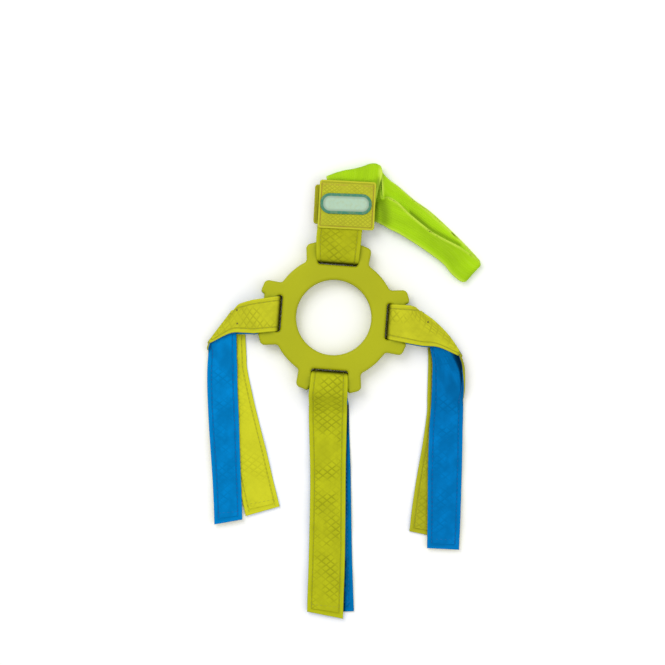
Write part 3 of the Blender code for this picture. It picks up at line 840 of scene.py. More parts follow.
def loop_rows(angle: float, width: float, above: np.ndarray, below: np.ndarray, spread: float) -> np.ndarray:
    """Rows round a bar, from above it through the slot to below it.

    Seen from above, each edge goes from the slot to the row that follows the loop. At a share t of
    that way it has made a share t^spread of its step sideways, so a spread of 1 gives a straight
    edge and a smaller one a strip that widens as soon as it is out of the slot.

    Args:
        angle: the bar's direction from the ring's centre.
        width: the strip's width in the slot.
        above: the left, middle and right point of the row after the loop in the upper half.
        below: the same for the lower half.
        spread: the power of the share.

    Returns:
        The rows.
    """
    outward = np.array((math.cos(angle), math.sin(angle), 0.0))
    left = np.array((math.sin(angle), -math.cos(angle), 0.0))
    bearing = np.linspace(math.pi / 2, math.pi, 15)
    lead = np.linspace(LOOP_LEAD, 0.4 * MM, 5)
    out = np.concatenate((lead, LOOP_MID * np.cos(bearing)))
    high = np.concatenate((np.full(5, LOOP_MID), LOOP_MID * np.sin(bearing)))
    halves = []
    for row, sign in ((above, 1.0), (below, -1.0)):
        edges = []
        for point, start in ((row[0], width / 2), (row[2], -width / 2)):
            reach = (point - RING_PLACE) @ outward - BAR_RADIUS + LOOP_MID
            share = np.clip((out + LOOP_MID) / reach, 0, 1) ** spread
            aside = start + ((point - RING_PLACE) @ left - start) * share
            edges.append(outward * (BAR_RADIUS + out)[:, None] + left * aside[:, None])
        height = (BAR_Z + sign * high)[:, None] * UP
        first, last = (edge + height + RING_PLACE for edge in edges)
        halves.append(np.stack((first, (first + last) / 2, last), axis=1))
    return np.concatenate((halves[0], halves[1][-2::-1]))


@dataclass(frozen=True)
class StrapPlan:
    """The measured rows of one double strap, from its bar outwards.

    Attributes:
        side: the name of its side.
        bearing: its bar's direction from the ring's centre.
        loop_width: its width where it passes through the slot.
        stack: the layer of its upper half beyond the bar.
        bend_y: where its tails start to bend, from the ring's centre.
        split_y: where the front tail leaves the back one.
        lining: the lining's surface.
        front: rows of the upper half as far as its crease, or its end if it has none.
        front_root: rows from the crease to where the tails bend.
        front_tail: rows of the upper tail.
        back: as front, for the lower half.
        back_root: as front_root.
        back_tail: as front_tail.
        creases: whether the strap turns under at its shoulder.
        seed: which set of small waves it has.
        spread: how soon beyond the slot it is as wide as its first row.
        cloth: the face's surface.
        back_shade: how far the lower tail is painted into shade, from 0 to 1, or painted lighter where it is negative.
        contact: how strong the shade is that its edges throw on the layer below them.
        contact_reach: how far that shade reaches.
        curl: y in millimetres against the width of the outer edge of the upper tail that curls over.
        roll: the radius of that roll.
        curls_right: whether the outer edge is the right one.
        wedge: y in millimetres against how far the shade of that roll reaches over the strap.
        head_shade: how far the upper tail's top lies in shade, from 0 to 1.
        tacks: plan places in millimetres of the small tacks on its face.
    """

    side: str
    bearing: float
    loop_width: float
    stack: int
    bend_y: float
    split_y: float
    lining: Cloth
    front: tuple
    front_root: tuple
    front_tail: tuple
    back: tuple
    back_root: tuple
    back_tail: tuple
    creases: bool = True
    seed: int = 1
    spread: float = 1.0
    cloth: Cloth = GREEN
    back_shade: float = 0.0
    contact: float = 0.4
    contact_reach: float = 1.5 * MM
    curl: tuple[tuple[float, float], ...] = ()
    roll: float = 1.35 * MM
    curls_right: bool = False
    wedge: tuple[tuple[float, float], ...] = ()
    head_shade: float = 0.0
    tacks: tuple[tuple[float, float], ...] = ()


def wave_of(rows: np.ndarray, start_y: float) -> np.ndarray:
    """Rows lifted in the slow waves of cloth that lies loose, the same for both tails of a strap."""
    rows = rows.copy()
    depth = np.clip((start_y - rows[..., 1]) / (20 * MM), 0, 1)
    y = rows[..., 1]
    lift = 0.5 + 0.5 * np.sin(y * 2 * math.pi / (46 * MM) + 0.6)
    lift += 0.35 * (0.5 + 0.5 * np.sin(y * 2 * math.pi / (19 * MM)))
    rows[..., 2] += lift * depth**2 * 0.8 * MM
    return rows


def contact_shade(grid: np.ndarray, strength: float, reach: float) -> np.ndarray:
    """How far each point of a strip lies in the shade of the strip's own edges above it.

    At a distance d in plan from an edge point that is higher by 0.6 to 6 mm it is
    strength e^(-(d / reach)^2) (0.4 + 0.6 c), where c is the cosine between the way from the edge to the point
    and the way the light goes, or 0 if that is negative. The strongest counts. Edge points of the
    same layer, to which the way along the strip is about as short as the straight one, don't count.

    Args:
        grid: the strip's points.
        strength: its value right beside an edge, on the side away from the light.
        reach: the distance over which it fades.

    Returns:
        The shade of each point, from 0 to 1.
    """
    edges = np.concatenate((grid[:, 0], grid[:, -1]))
    runs = Band(grid).along[:, 0]
    light = np.array((0.35, -0.94))
    rows = []
    for run, line in zip(runs, grid):
        step = line[:, None] - edges
        other = np.abs(np.tile(runs, 2) - run) > 1.5 * np.linalg.norm(step, axis=2) + 0.5 * MM
        away = np.linalg.norm(step[..., :2], axis=2) + 1e-9
        rise = -step[..., 2]
        lit = np.maximum(step[..., :2] @ light / away, 0)
        value = strength * np.exp(-((away / reach) ** 2)) * (0.4 + 0.6 * lit)
        rows.append(np.where((rise > 0.6 * MM) & (rise < 6 * MM) & other, value, 0).max(axis=1))
    return np.minimum(np.array(rows), 0.95)


def slot_shade(grid: np.ndarray, bearing: float) -> np.ndarray:
    """How far each point of a strip is painted into shade where it goes down into the slot behind a bar."""
    outward = np.array((math.cos(bearing), math.sin(bearing), 0.0))
    place = grid - RING_PLACE
    behind = place @ outward - BAR_RADIUS < -0.5 * LOOP_MID
    inside = behind & (np.abs(place @ np.cross(UP, outward)) < 17 * MM)
    return np.clip((BAR_Z + 5.0 * MM - grid[..., 2]) / (2.2 * MM), 0, 1) * 0.95 * inside


@dataclass
class Strap:
    """A double strap: one long strip looped round its bar, face outwards, ending in two tails."""

    plan: StrapPlan

    def half(self, table: tuple, root: tuple) -> np.ndarray:
        """Rows of one half from the bar outwards to where its tail bends."""
        climb = BAR_TOP - HALF - self.plan.stack * PITCH
        rows = plan_rows(table, HALF, climb)
        under = plan_rows(root, HALF, climb)
        if not self.plan.creases:
            return smooth(np.concatenate((rows, under)), 8)
        rows, bend = creased(rows, PITCH, BAND)
        return np.concatenate((smooth(rows, 7), bend[1:-1], smooth(np.concatenate((bend[-1:], under)), 9)))

    def curled(self, grid: np.ndarray, count: int) -> tuple[np.ndarray, np.ndarray]:
        """Turn one edge of the first rows of a grid up and over in a roll.

        A point closer to the edge than the curl c lies on a circle of radius r: it is r sin(t) outwards
        and r (1 - cos(t)) above the row, with t = (c - its distance) / r. The rest of the row
        stretches, so that the roll reaches as far out as the edge did.

        Args:
            grid: the strap's grid.
            count: how many rows belong to the upper half.

        Returns:
            The new grid, and how far each point lies in the roll's shade.
        """
        rolled, dark = grid.copy(), np.zeros(grid.shape[:2])
        if not self.plan.curl:
            return rolled, dark
        grid, shade = (rolled[:, ::-1], dark[:, ::-1]) if self.plan.curls_right else (rolled, dark)
        place, size = np.array(self.plan.curl).T * MM
        wedge_place, wedge_size = np.array(self.plan.wedge).T * MM
        radius = self.plan.roll
        for row in range(count):
            line = grid[row]
            y = line[0, 1] - RING_PLACE[1]
            curl = float(np.interp(-y, -place, size, left=0, right=0))
            if curl < 0.3 * MM or line[0, 2] > 5.6 * MM:
                continue
            across = line[-1] - line[0]
            width = float(np.linalg.norm(across))
            unit = across / width
            near = np.linalg.norm(line - line[0], axis=1)
            small = min(radius, curl)
            inward = np.where(near >= curl, small + (near - curl) * (width - small) / (width - curl), small)
            turn = np.maximum(curl - near, 0) / small
            spot = line[0] + unit * inward[:, None]
            grid[row] = spot - unit * (small * np.sin(turn))[:, None] + UP * (small * (1 - np.cos(turn)))[:, None]
            wedge = float(np.interp(-y, -wedge_place, wedge_size))
            beside = (near > curl) / (1 + (np.maximum(near - curl, 0) / wedge) ** 6)
            beside = beside * np.clip((curl / MM - 1.5) / 2.5, 0, 1)
            shade[row] = (turn > 0) * 0.32 + np.clip((turn - 2.6) / 1.2, 0, 1) * 0.6 + beside * 0.93
        return rolled, dark

    def build(self) -> None:
        """Make the strap's cloth and thread."""
        plan = self.plan
        climb = BAR_TOP - HALF - plan.stack * PITCH
        bend_y = plan.bend_y * MM + RING_PLACE[1]
        split_y = plan.split_y * MM + RING_PLACE[1]
        front_tail = plan_rows(plan.front_root[-1:] + plan.front_tail, HALF, climb)
        back_tail = plan_rows(plan.back_root[-1:] + plan.back_tail, HALF, climb)
        front = wave_of(smooth(front_tail, 14), split_y)
        back = wave_of(smooth(back_tail, 14), split_y)
        upper = self.half(plan.front, plan.front_root)
        lower = self.half(plan.back, plan.back_root)
        loop = loop_rows(plan.bearing, plan.loop_width, upper[0], lower[0], plan.spread)
        path = np.concatenate((front[:0:-1], upper[::-1], loop, lower, back[1:]))
        first = len(front) - 1 + len(upper)
        grid, rolled = self.curled(Band.laid(path, 41 if plan.curl else 27).grid, first)
        tail = np.clip((np.arange(len(path)) - first - len(loop) - len(lower) / 2) / 12, 0, 1)
        shade = np.maximum.reduce((contact_shade(grid, plan.contact, plan.contact_reach), rolled, slot_shade(grid, plan.bearing)))
        # Painted shade over the lower tail, or painted light where back_shade is negative, and painted shade on the top
        # of the upper tail.
        shade = np.where(shade > 0.3, shade, shade + tail[:, None] * plan.back_shade)
        head = np.clip(1 + (grid[:first, :, 1] - bend_y) / (30 * MM), 0, 1) * (grid[:first, :, 2] < 6 * MM)
        shade[:first] = np.maximum(shade[:first], head * plan.head_shade)
        band = Band(grid, free_start=True, free_end=True, shade=shade)
        cut = int(np.argmax(path[:first, 1, 1] > (bend_y + split_y) / 2))
        bend = ((0, bend_y + 4 * MM, 0), (0, bend_y - 3 * MM, 0))
        split = ((0, split_y + 3 * MM, 0), (0, split_y - 5 * MM, 0))
        side = plan.side
        self.dress(band, slice(cut, None), "strap", (f"{side}_strap", f"{side}_back_tail"), bend)
        self.dress(band, slice(0, cut + 1), "flap", (f"{side}_back_tail", f"{side}_front_tail"), split)

    def dress(self, band: Band, span: slice, kind: str, bodies: tuple[str, str], reach: tuple) -> None:
        """Make both layers of some rows with their stitches, and hide the CAD nodes that they replace.

        Args:
            band: the whole strap.
            span: its rows that belong to this piece.
            kind: the piece's kind, which begins its names.
            bodies: the two bodies it would bend between; not used.
            reach: where the bend would start and end; not used.
        """
        plan, side = self.plan, self.plan.side
        face = band.layer(f"{kind}_{side}_face", plan.cloth, -0.06 * MM, HALF, plan.seed, span)
        lining = band.layer(f"{kind}_{side}_lining", plan.lining, 0.06 * MM, -HALF, plan.seed + 7, span)
        runs = band.along[span, 0]
        low, high, total = float(runs[0]), float(runs[-1]), float(band.along[-1, 0])
        seam = np.arange(math.ceil(low / STITCH), math.floor(high / STITCH)) * STITCH + STITCH / 2
        seam = seam[(seam > 2.5 * MM) & (seam < total - 2.5 * MM)]
        parts = [band.at(seam, np.full(len(seam), inset)) for inset in (SEAM, -SEAM)]
        for run in (HEM, total - HEM):
            if low < run < high:
                width = float(band.width[0 if run < total / 2 else -1, 0])
                parts.append(cross_rows(band, run, 3.6 * MM, width - 3.6 * MM, 3.0 * MM))
        point, facing, ahead = (np.concatenate([part[i] for part in parts]) for i in range(3))
        lift = HALF - 0.17 * MM
        made = [face, lining]
        for layer, finish, sign in (("face", GREEN_THREAD, 1.0), ("lining", BLUE_THREAD, -1.0)):
            name = f"{kind}_{side}_thread_{layer}"
            made.append(stitches(name, finish, point + facing * lift * sign, facing * sign, ahead, 2.3 * MM, 0.19 * MM))
        if kind == "strap" and plan.tacks:
            made.append(self.tack(band, face.name))
        for thing in made:
            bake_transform(thing)
        band.flat(span)
        if kind == "strap":
            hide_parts(f"strap_{side}_face", f"back_tail_{side}_face", f"front_root_{side}_face")
            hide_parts(f"strap_{side}_lining", f"back_tail_{side}_lining", f"front_root_{side}_lining")
        else:
            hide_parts(f"front_tail_{side}_face")
            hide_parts(f"front_tail_{side}_lining")

    def tack(self, band: Band, name: str) -> bpy.types.Object:
        """Small tacks of a few tight stitches where the two halves of the strap are held together."""
        spots = np.array(self.plan.tacks) * MM + RING_PLACE[:2]
        facing = grid_normals(band.grid)
        upright = (facing[..., 2] > 0.6) & (band.grid[..., 2] > 5 * MM)
        points, ways, heads = [], [], []
        for spot in spots:
            away = np.linalg.norm(band.grid[..., :2] - spot, axis=2) + np.where(upright, 0, 1)
            row, column = np.unravel_index(np.argmin(away), away.shape)
            face = facing[row, column]
            base = band.grid[row, column] + face * (HALF + 0.02 * MM)
            for offset in (-0.35, 0.0, 0.35):
                points.append(base + np.array((offset * MM, 0, 0)))
                ways.append(face)
                heads.append(np.array((0.15, 1.0, 0)) / math.hypot(0.15, 1.0))
        return stitches(f"tacks_{self.plan.side}", TACK, *(np.array(v) for v in (points, ways, heads)), 1.5 * MM, 0.22 * MM)


WEST = StrapPlan(
    side="west",
    bearing=math.radians(175.7),
    loop_width=24.2 * MM,
    stack=3,
    bend_y=-27.0,
    split_y=-35.0,
    lining=BLUE,
    front=(
        (-55.4, 12.1, -54.6, -10.8, 0, 3, 0.92, 0.92),
        (-60.5, 10.7, -61.5, -10.4, 0, 3, 0.5, 0.5),
        (-65.2, 8.9, -71.0, -10.8, 0, 3, 0.1, 0.1),
        (-69.5, 5.6, -86.3, -16.6, 0, 3, 0, 0),
    ),
    front_root=(
        (-66.8, -9.0, -85.9, -20.2, 0, 2, 0, 0),
        (-66.5, -18.5, -86.0, -23.2, 0, 1.3, 0, 0),
        (-66.4, -27.0, -86.2, -27.0, 0, 1, 0, 0),
    ),
    front_tail=(
        (-66.1, -35, -86.7, -35, 0, 1, 0, 0),
        (-65.9, -48, -86.7, -48, 0, 1, 0, 0),
        (-64.9, -72, -85.7, -72, 0, 1, 0, 0),
        (-63.9, -103, -83.6, -103, 0, 1, 0, 0),
        (-63.0, -125, -82.4, -125, 0, 1, 0, 0),
        (-62.6, -138.4, -81.8, -141.8, 0, 1, 0, 0),
    ),
    back=(
        (-55.2, 11.6, -54.5, -11.6, 0, 0.15, 0, 0),
        (-60.0, 10.2, -61.0, -11.4, 0, 0.8, 0, 0),
        (-62.6, 9.0, -70.0, -12.0, 0, 1, 0, 0),
        (-65.3, 7.5, -84.0, -16.7, 0, 1, 0, 0),
    ),
    back_root=(
        (-61.0, -8.0, -83.0, -21.5, 0, 0, 0, 0),
        (-59.8, -27.0, -83.2, -27.0, 0, 0, 0, 0),
    ),
    back_tail=(
        (-59.2, -36, -82.0, -36, 0, 0, 0, 0),
        (-55.0, -56, -78.5, -56, 0, 0, 0, 0),
        (-49.9, -77, -74.0, -77, 0, 0, 0, 0),
        (-45.8, -93, -70.3, -93, 0, 0, 0, 0),
        (-41.4, -112, -66.0, -112, 0, 0, 0, 0),
        (-37.0, -129.6, -60.4, -136.2, 0, 0, 0, 0),
    ),
    creases=True,
    seed=11,
    back_shade=-0.45,
    curl=((-16.0, 3.2), (-21.0, 3.0), (-24.5, 0.0)),
    curls_right=True,
    wedge=((-16.0, 1.4), (-21.0, 0.9), (-24.5, 0.2)),
    tacks=((-65.5, 4.9), (-65.5, -4.1)),
)

EAST = StrapPlan(
    side="east",
    bearing=math.radians(-4.3),
    loop_width=24.0 * MM,
    stack=3,
    bend_y=-57.0,
    split_y=-64.99,
    lining=SHADED_BLUE,
    front=(
        (53.0, -18.1, 52.2, 8.3, 0, 3, 0.93, 0.95),
        (61.0, -19.4, 53.6, 7.9, 0, 3, 0.5, 0.86),
        (72.0, -20.4, 55.0, 7.3, 1.0, 3, 0.1, 0.72),
        (88.0, -25.6, 59.4, 5.0, 3.0, 3, 0, 0.5),
    ),
    front_root=(
        (88.9, -34.0, 62.0, -6.0, 1.5, 2, 0, 0.3),
        (89.2, -46.0, 67.2, -27.0, 0, 2, 0, 0),
        (89.0, -52.0, 67.4, -43.0, 0, 1.3, 0, 0),
        (88.9, -57.0, 67.0, -57.0, 0, 1, 0, 0),
    ),
    front_tail=(
        (88.8, -65, 66.4, -65, 0, 1, 0, 0),
        (88.4, -80, 65.3, -80, 0, 1, 0, 0),
        (87.9, -105, 64.6, -105, 0, 1, 0, 0),
        (87.1, -132, 64.4, -132, 0, 1, 0, 0),
        (86.0, -159.2, 64.0, -158.1, 0, 1, 0, 0),
    ),
    back=(
        (52.6, -18.6, 52.9, 7.6, 0, 0.15, 0, 0),
        (61.0, -20.1, 55.6, 6.8, 0, 0.8, 0, 0),
        (71.0, -21.2, 57.6, 5.6, 0, 1, 0, 0),
        (86.0, -27.0, 60.5, 3.0, 2.6, 1, 0, 0),
    ),
    back_root=(
        (88.0, -38.0, 64.5, -20.0, 0, 0, 0, 0),
        (87.9, -57.0, 64.2, -57.0, 0, 0, 0, 0),
    ),
    back_tail=(
        (87.4, -66, 63.9, -66, 0, 0, 0, 0),
        (84.8, -86, 61.1, -86, 0, 0, 0, 0),
        (81.2, -107, 57.4, -107, 0, 0, 0, 0),
        (78.0, -128, 54.1, -128, 0, 0, 0, 0),
        (75.0, -151.5, 51.9, -146.6, 0, 0, 0, 0),
    ),
    creases=True,
    seed=23,
    back_shade=0.22,
    curl=((-24.0, 5.6), (-30.0, 5.8), (-38.0, 5.2), (-46.0, 3.8), (-54.0, 2.4), (-62.0, 0.0)),
    roll=1.8 * MM,
    wedge=((-24.0, 10.0), (-34.0, 8.5), (-37.0, 5.0), (-40.0, 2.6), (-46.0, 1.2), (-60.0, 0.4)),
    head_shade=0.16,
    tacks=((64.1, -3.0),),
)

SOUTH = StrapPlan(
    side="south",
    bearing=math.radians(265.7),
    loop_width=24.4 * MM,
    stack=1,
    bend_y=-72.0,
    split_y=-79.99,
    lining=BLUE,
    front=(
        (-17.2, -53.2, 9.4, -53.6, 0, 1, 0.86, 0.86),
        (-17.0, -58.4, 9.2, -58.6, 0, 1, 0.42, 0.42),
        (-17.1, -64.0, 9.2, -64.0, 0, 1, 0.06, 0.06),
    ),
    front_root=(
        (-17.1, -68.0, 9.1, -68.0, 0, 1, 0, 0),
        (-17.0, -72.0, 9.0, -72.0, 0, 1, 0, 0),
    ),
    front_tail=(
        (-16.8, -80, 8.8, -80, 0, 1, 0, 0),
        (-16.2, -105, 8.3, -105, 0, 1, 0, 0),
        (-16.4, -132, 8.1, -132, 0, 1, 0, 0),
        (-17.2, -166, 7.7, -166, 0, 1, 0, 0),
        (-18.0, -190, 6.9, -191, 0, 1, 0, 0),
        (-18.3, -201.6, 6.4, -206.6, 0, 1, 0, 0),
    ),
    back=(
        (-16.6, -54, 9.4, -54.2, 0, 0, 0, 0),
        (-16.6, -59, 10.3, -59, 0, 0, 0, 0),
        (-16.6, -64, 10.5, -64, 0, 0, 0, 0),
    ),
    back_root=(
        (-16.5, -72.0, 10.6, -72.0, 0, 0, 0, 0),
    ),
    back_tail=(
        (-15.6, -80, 10.8, -80, 0, 0, 0, 0),
        (-13.7, -105, 11.7, -105, 0, 0, 0, 0),
        (-13.3, -132, 12.1, -132, 0, 0, 0, 0),
        (-12.6, -166, 12.7, -166, 0, 0, 0, 0),
        (-11.5, -202.3, 13.9, -201.6, 0, 0, 0, 0),
    ),
    creases=False,
    seed=37,
    spread=0.45,
    cloth=SHADED_GREEN,
    back_shade=0.20,
    contact=1.3,
    contact_reach=2.0 * MM,
)

NORTH_FRONT = (
    (18.8, 52.6, -11.9, 54.4, 0, 0, 0.74, 0.74),
    (19.1, 55.8, -11.6, 57.4, 0, 0, 0.3, 0.3),
    (19.4, 58.6, -11.3, 60.2, 0, 0, 0.02, 0.02),
    (19.8, 64.0, -11.0, 65.6, 0, 0, 0, 0),
    (20.2, 73.0, -10.4, 74.6, 0, 0, 0, 0),
)
NORTH_BACK = (
    (18.4, 52.5, -11.5, 54.5, 0, 0, 0.93, 0.93),
    (18.9, 56.6, -10.9, 58.4, 0, 0, 0.5, 0.5),
    (19.3, 60.6, -10.7, 62.2, 0, 0, 0.05, 0.05),
    (19.5, 65.0, -10.6, 66.6, 0, 0, 0, 0),
    (19.8, 72.0, -10.0, 73.6, 0, 0, 0, 0),
)


# The patch and its strap


@dataclass
class Plate:
    """A flat sewn panel with rounded corners, a little fuller away from its seams.

    Attributes:
        name: the piece's name.
        finish: its surface.
        width: its size across.
        height: its size along.
        corner: the radius of its corners.
        place: its middle.
        turn: how far it is turned, in radians.
        thick: its thickness at the rim.
        puff: how much fuller it is inside.
    """

    name: str
    finish: Finish
    width: float
    height: float
    corner: float
    place: tuple[float, float, float]
    turn: float
    thick: float
    puff: float = 0.0
    seed: int = 5

    def spread(self, across: np.ndarray, up: np.ndarray) -> np.ndarray:
        """Points on the toy for distances from the panel's middle."""
        cosine, sine = math.cos(self.turn), math.sin(self.turn)
        x = self.place[0] * MM + across * cosine - up * sine
        y = self.place[1] * MM + across * sine + up * cosine
        return np.stack((x, y, np.full_like(x, self.place[2] * MM)), -1) + RING_PLACE

    def inside(self, across: np.ndarray, up: np.ndarray) -> np.ndarray:
        """How far points are inside the panel's rounded outline."""
        gap = np.stack(
            (np.abs(across) - self.width / 2 + self.corner, np.abs(up) - self.height / 2 + self.corner), -1
        )
        outside = np.linalg.norm(np.maximum(gap, 0), axis=-1)
        return self.corner - outside - np.minimum(gap.max(-1), 0)

    def build(self) -> bpy.types.Object:
        """Make the panel.

        Returns:
            The piece.
        """
        tall, wide = 61, 71
        share = np.sin(np.linspace(-1, 1, tall) * math.pi / 2)
        up = share * self.height / 2
        cut = np.maximum(np.abs(up) - self.height / 2 + self.corner, 0)
        half = self.width / 2 - self.corner + np.sqrt(np.maximum(self.corner**2 - cut**2, 0))
        across = np.sin(np.linspace(-1, 1, wide) * math.pi / 2)[None] * half[:, None]
        up = np.broadcast_to(up[:, None], across.shape)
        depth = self.inside(across, up)
        flat = self.spread(across, up)
        roll = np.sqrt(np.clip(1 - (1 - np.clip(depth / (0.6 * MM), 0, 1)) ** 2, 0, 1))
        wave = ripple(np.stack((across, up), -1), self.seed, 13 * MM, 0.12 * MM) * np.clip(depth / MM, 0, 1)
        lift = self.thick / 2 * (0.2 + 0.8 * roll) + wave * (self.puff > 0)
        lift = lift + self.puff * np.clip((depth - 1.5 * MM) / (4 * MM), 0, 1) ** 0.7
        upper, under = flat.copy(), flat.copy()
        upper[..., 2] += lift
        under[..., 2] -= self.thick / 2 * (0.2 + 0.8 * roll)
        thing = add_mesh(
            self.name,
            np.concatenate((upper.reshape(-1, 3), under.reshape(-1, 3))),
            closed_faces(tall, wide),
            self.finish,
        )
        plan = np.stack((across, up), -1).reshape(-1, 2)
        seam = np.stack((depth, np.zeros_like(depth)), -1).reshape(-1, 2)
        set_map(thing, "cloth", np.concatenate((plan, plan)))
        set_map(thing, "seam", np.concatenate((seam, seam)))
        return thing

    def sew(self, name: str, finish: Finish, paths: list[np.ndarray], length: float, radius: float, lift: float) -> bpy.types.Object:
        """Sew along paths of points given as distances from the panel's middle, one stitch to a step.

        Args:
            name: the piece's name.
            finish: the thread.
            paths: for each seam, an array of points.
            length: how long a stitch is, or 0 for the whole step.
            radius: how thick the thread is.
            lift: how far above the panel's middle layer it lies.

        Returns:
            The piece.
        """
        centres, ahead = [], []
        for path in paths:
            points = self.spread(path[:, 0], path[:, 1])
            step = np.diff(points, axis=0)
            centres.append((points[1:] + points[:-1]) / 2)
            ahead.append(step)
        centre, step = np.concatenate(centres), np.concatenate(ahead)
        size = np.linalg.norm(step, axis=1)
        unit = step / size[:, None]
        up = np.broadcast_to(np.array((0, 0, 1.0)), unit.shape)
        return stitches(name, finish, centre + up * lift, up, unit, length or float(size.mean()) * 0.92, radius)


def straight(x0: float, y0: float, x1: float, y1: float, step: float) -> np.ndarray:
    """Points a step apart along a straight seam."""
    count = max(2, round(math.hypot(x1 - x0, y1 - y0) / step) + 1)
    return np.column_stack((np.linspace(x0, x1, count), np.linspace(y0, y1, count)))


def zigzag(x0: float, x1: float, y: float, high: float, step: float) -> np.ndarray:
    """Points of a zigzag seam across a panel."""
    count = round((x1 - x0) / step) + 1
    return np.column_stack((np.linspace(x0, x1, count), y + high / 2 * (-1.0) ** np.arange(count)))


@dataclass
class Patch:
    """The sewn patch: a strap round the ring's top bar, two panels, a blank label and seams."""

    centre: tuple[float, float] = (9.05, 76.7)
    turn: float = math.radians(-3.0)

    def build(self) -> None:
        """Make the patch's pieces; all of them move with the tab."""
        front = smooth(plan_rows(NORTH_FRONT, TAB_FRONT_Z, BAR_TOP - TAB_FRONT_Z), 8)
        back = smooth(plan_rows(NORTH_BACK, TAB_BACK_Z, BAR_Z - LOOP_MID - TAB_BACK_Z), 8)
        loop = loop_rows(math.radians(85.7), 27.2 * MM, front[0], back[0], 0.3)
        grid = Band.laid(np.concatenate((front[::-1], loop, back))).grid
        # The tab is painted a little into shade all over, and more where it goes down into the slot.
        strap = Band(grid, shade=np.maximum(slot_shade(grid, math.radians(85.7)), 0.10))
        face = strap.layer("tab_face", SHADED_GREEN, -0.06 * MM, HALF, 51)
        lining = strap.layer("tab_lining", BLUE, 0.06 * MM, -HALF, 58)
        lift = HALF - 0.17 * MM
        point, facing, ahead = seam_rows(strap, (SEAM, -SEAM), MM, strap.along[-1, 0] - MM, STITCH)
        thread = stitches("tab_thread", GREEN_THREAD, point + facing * lift, facing, ahead, 2.3 * MM, 0.19 * MM)
        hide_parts("tab_strap_face")
        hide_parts("tab_strap_lining")
        width, height = 38.6 * MM, 33.0 * MM
        x, y = self.centre
        panel = Plate("front_panel", PATCH, width, height, 2 * MM, (x, y, 11.7), self.turn, 0.8 * MM, 0.35 * MM)
        backing = Plate("back_panel", AMBER, width, 27 * MM, 2 * MM, (x - 3.1, y, 6.8), self.turn, 0.8 * MM)
        label = Plate("plain_label", MINT, 35 * MM, 14 * MM, 6.6 * MM, (8.4, 77.4, 12.85), math.radians(-2), 0.9 * MM, 0.08 * MM, 9)
        made = [panel.build(), backing.build(), label.build()]
        w, h = width / 2, height / 2
        seams = [
            straight(-w + 1.6 * MM, -h + 2 * MM, -w + 1.6 * MM, h - 2 * MM, 1.5 * MM),
            straight(w - 1.6 * MM, -h + 2 * MM, w - 1.6 * MM, h - 2 * MM, 1.5 * MM),
            zigzag(-w + 2 * MM, w - 2 * MM, h - 3.2 * MM, 2.2 * MM, 0.8 * MM),
        ]
        lower = [
            straight(-w + 1.6 * MM, -h + 4.2 * MM, w - 1.6 * MM, -h + 4.2 * MM, 2.0 * MM),
            straight(-w + 1.6 * MM, -h + 1.6 * MM, w - 1.6 * MM, -h + 1.6 * MM, 1.5 * MM),
        ]
        sewn = [
            panel.sew("patch_seams", AMBER_THREAD, seams, 0, 0.2 * MM, 0.36 * MM),
            panel.sew("patch_lower_seams", AMBER_THREAD, lower, 1.2 * MM, 0.2 * MM, 0.36 * MM),
        ]
        rim = np.linspace(0, 2 * math.pi, 97)
        stadium = np.column_stack(
            (np.sign(np.cos(rim)) * 9.0 * MM + np.cos(rim) * 6.6 * MM, np.sin(rim) * 5.2 * MM)
        )
        for thing in (face, lining, thread, *made, *sewn):
            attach(thing, "tab")
        for thing, node, name in zip(made, ("patch_front", "patch_back", "patch_label"), ("patch_cloth", "patch_backing", "label_film")):
            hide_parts(node)
        strap.flat()


# The elastic handle


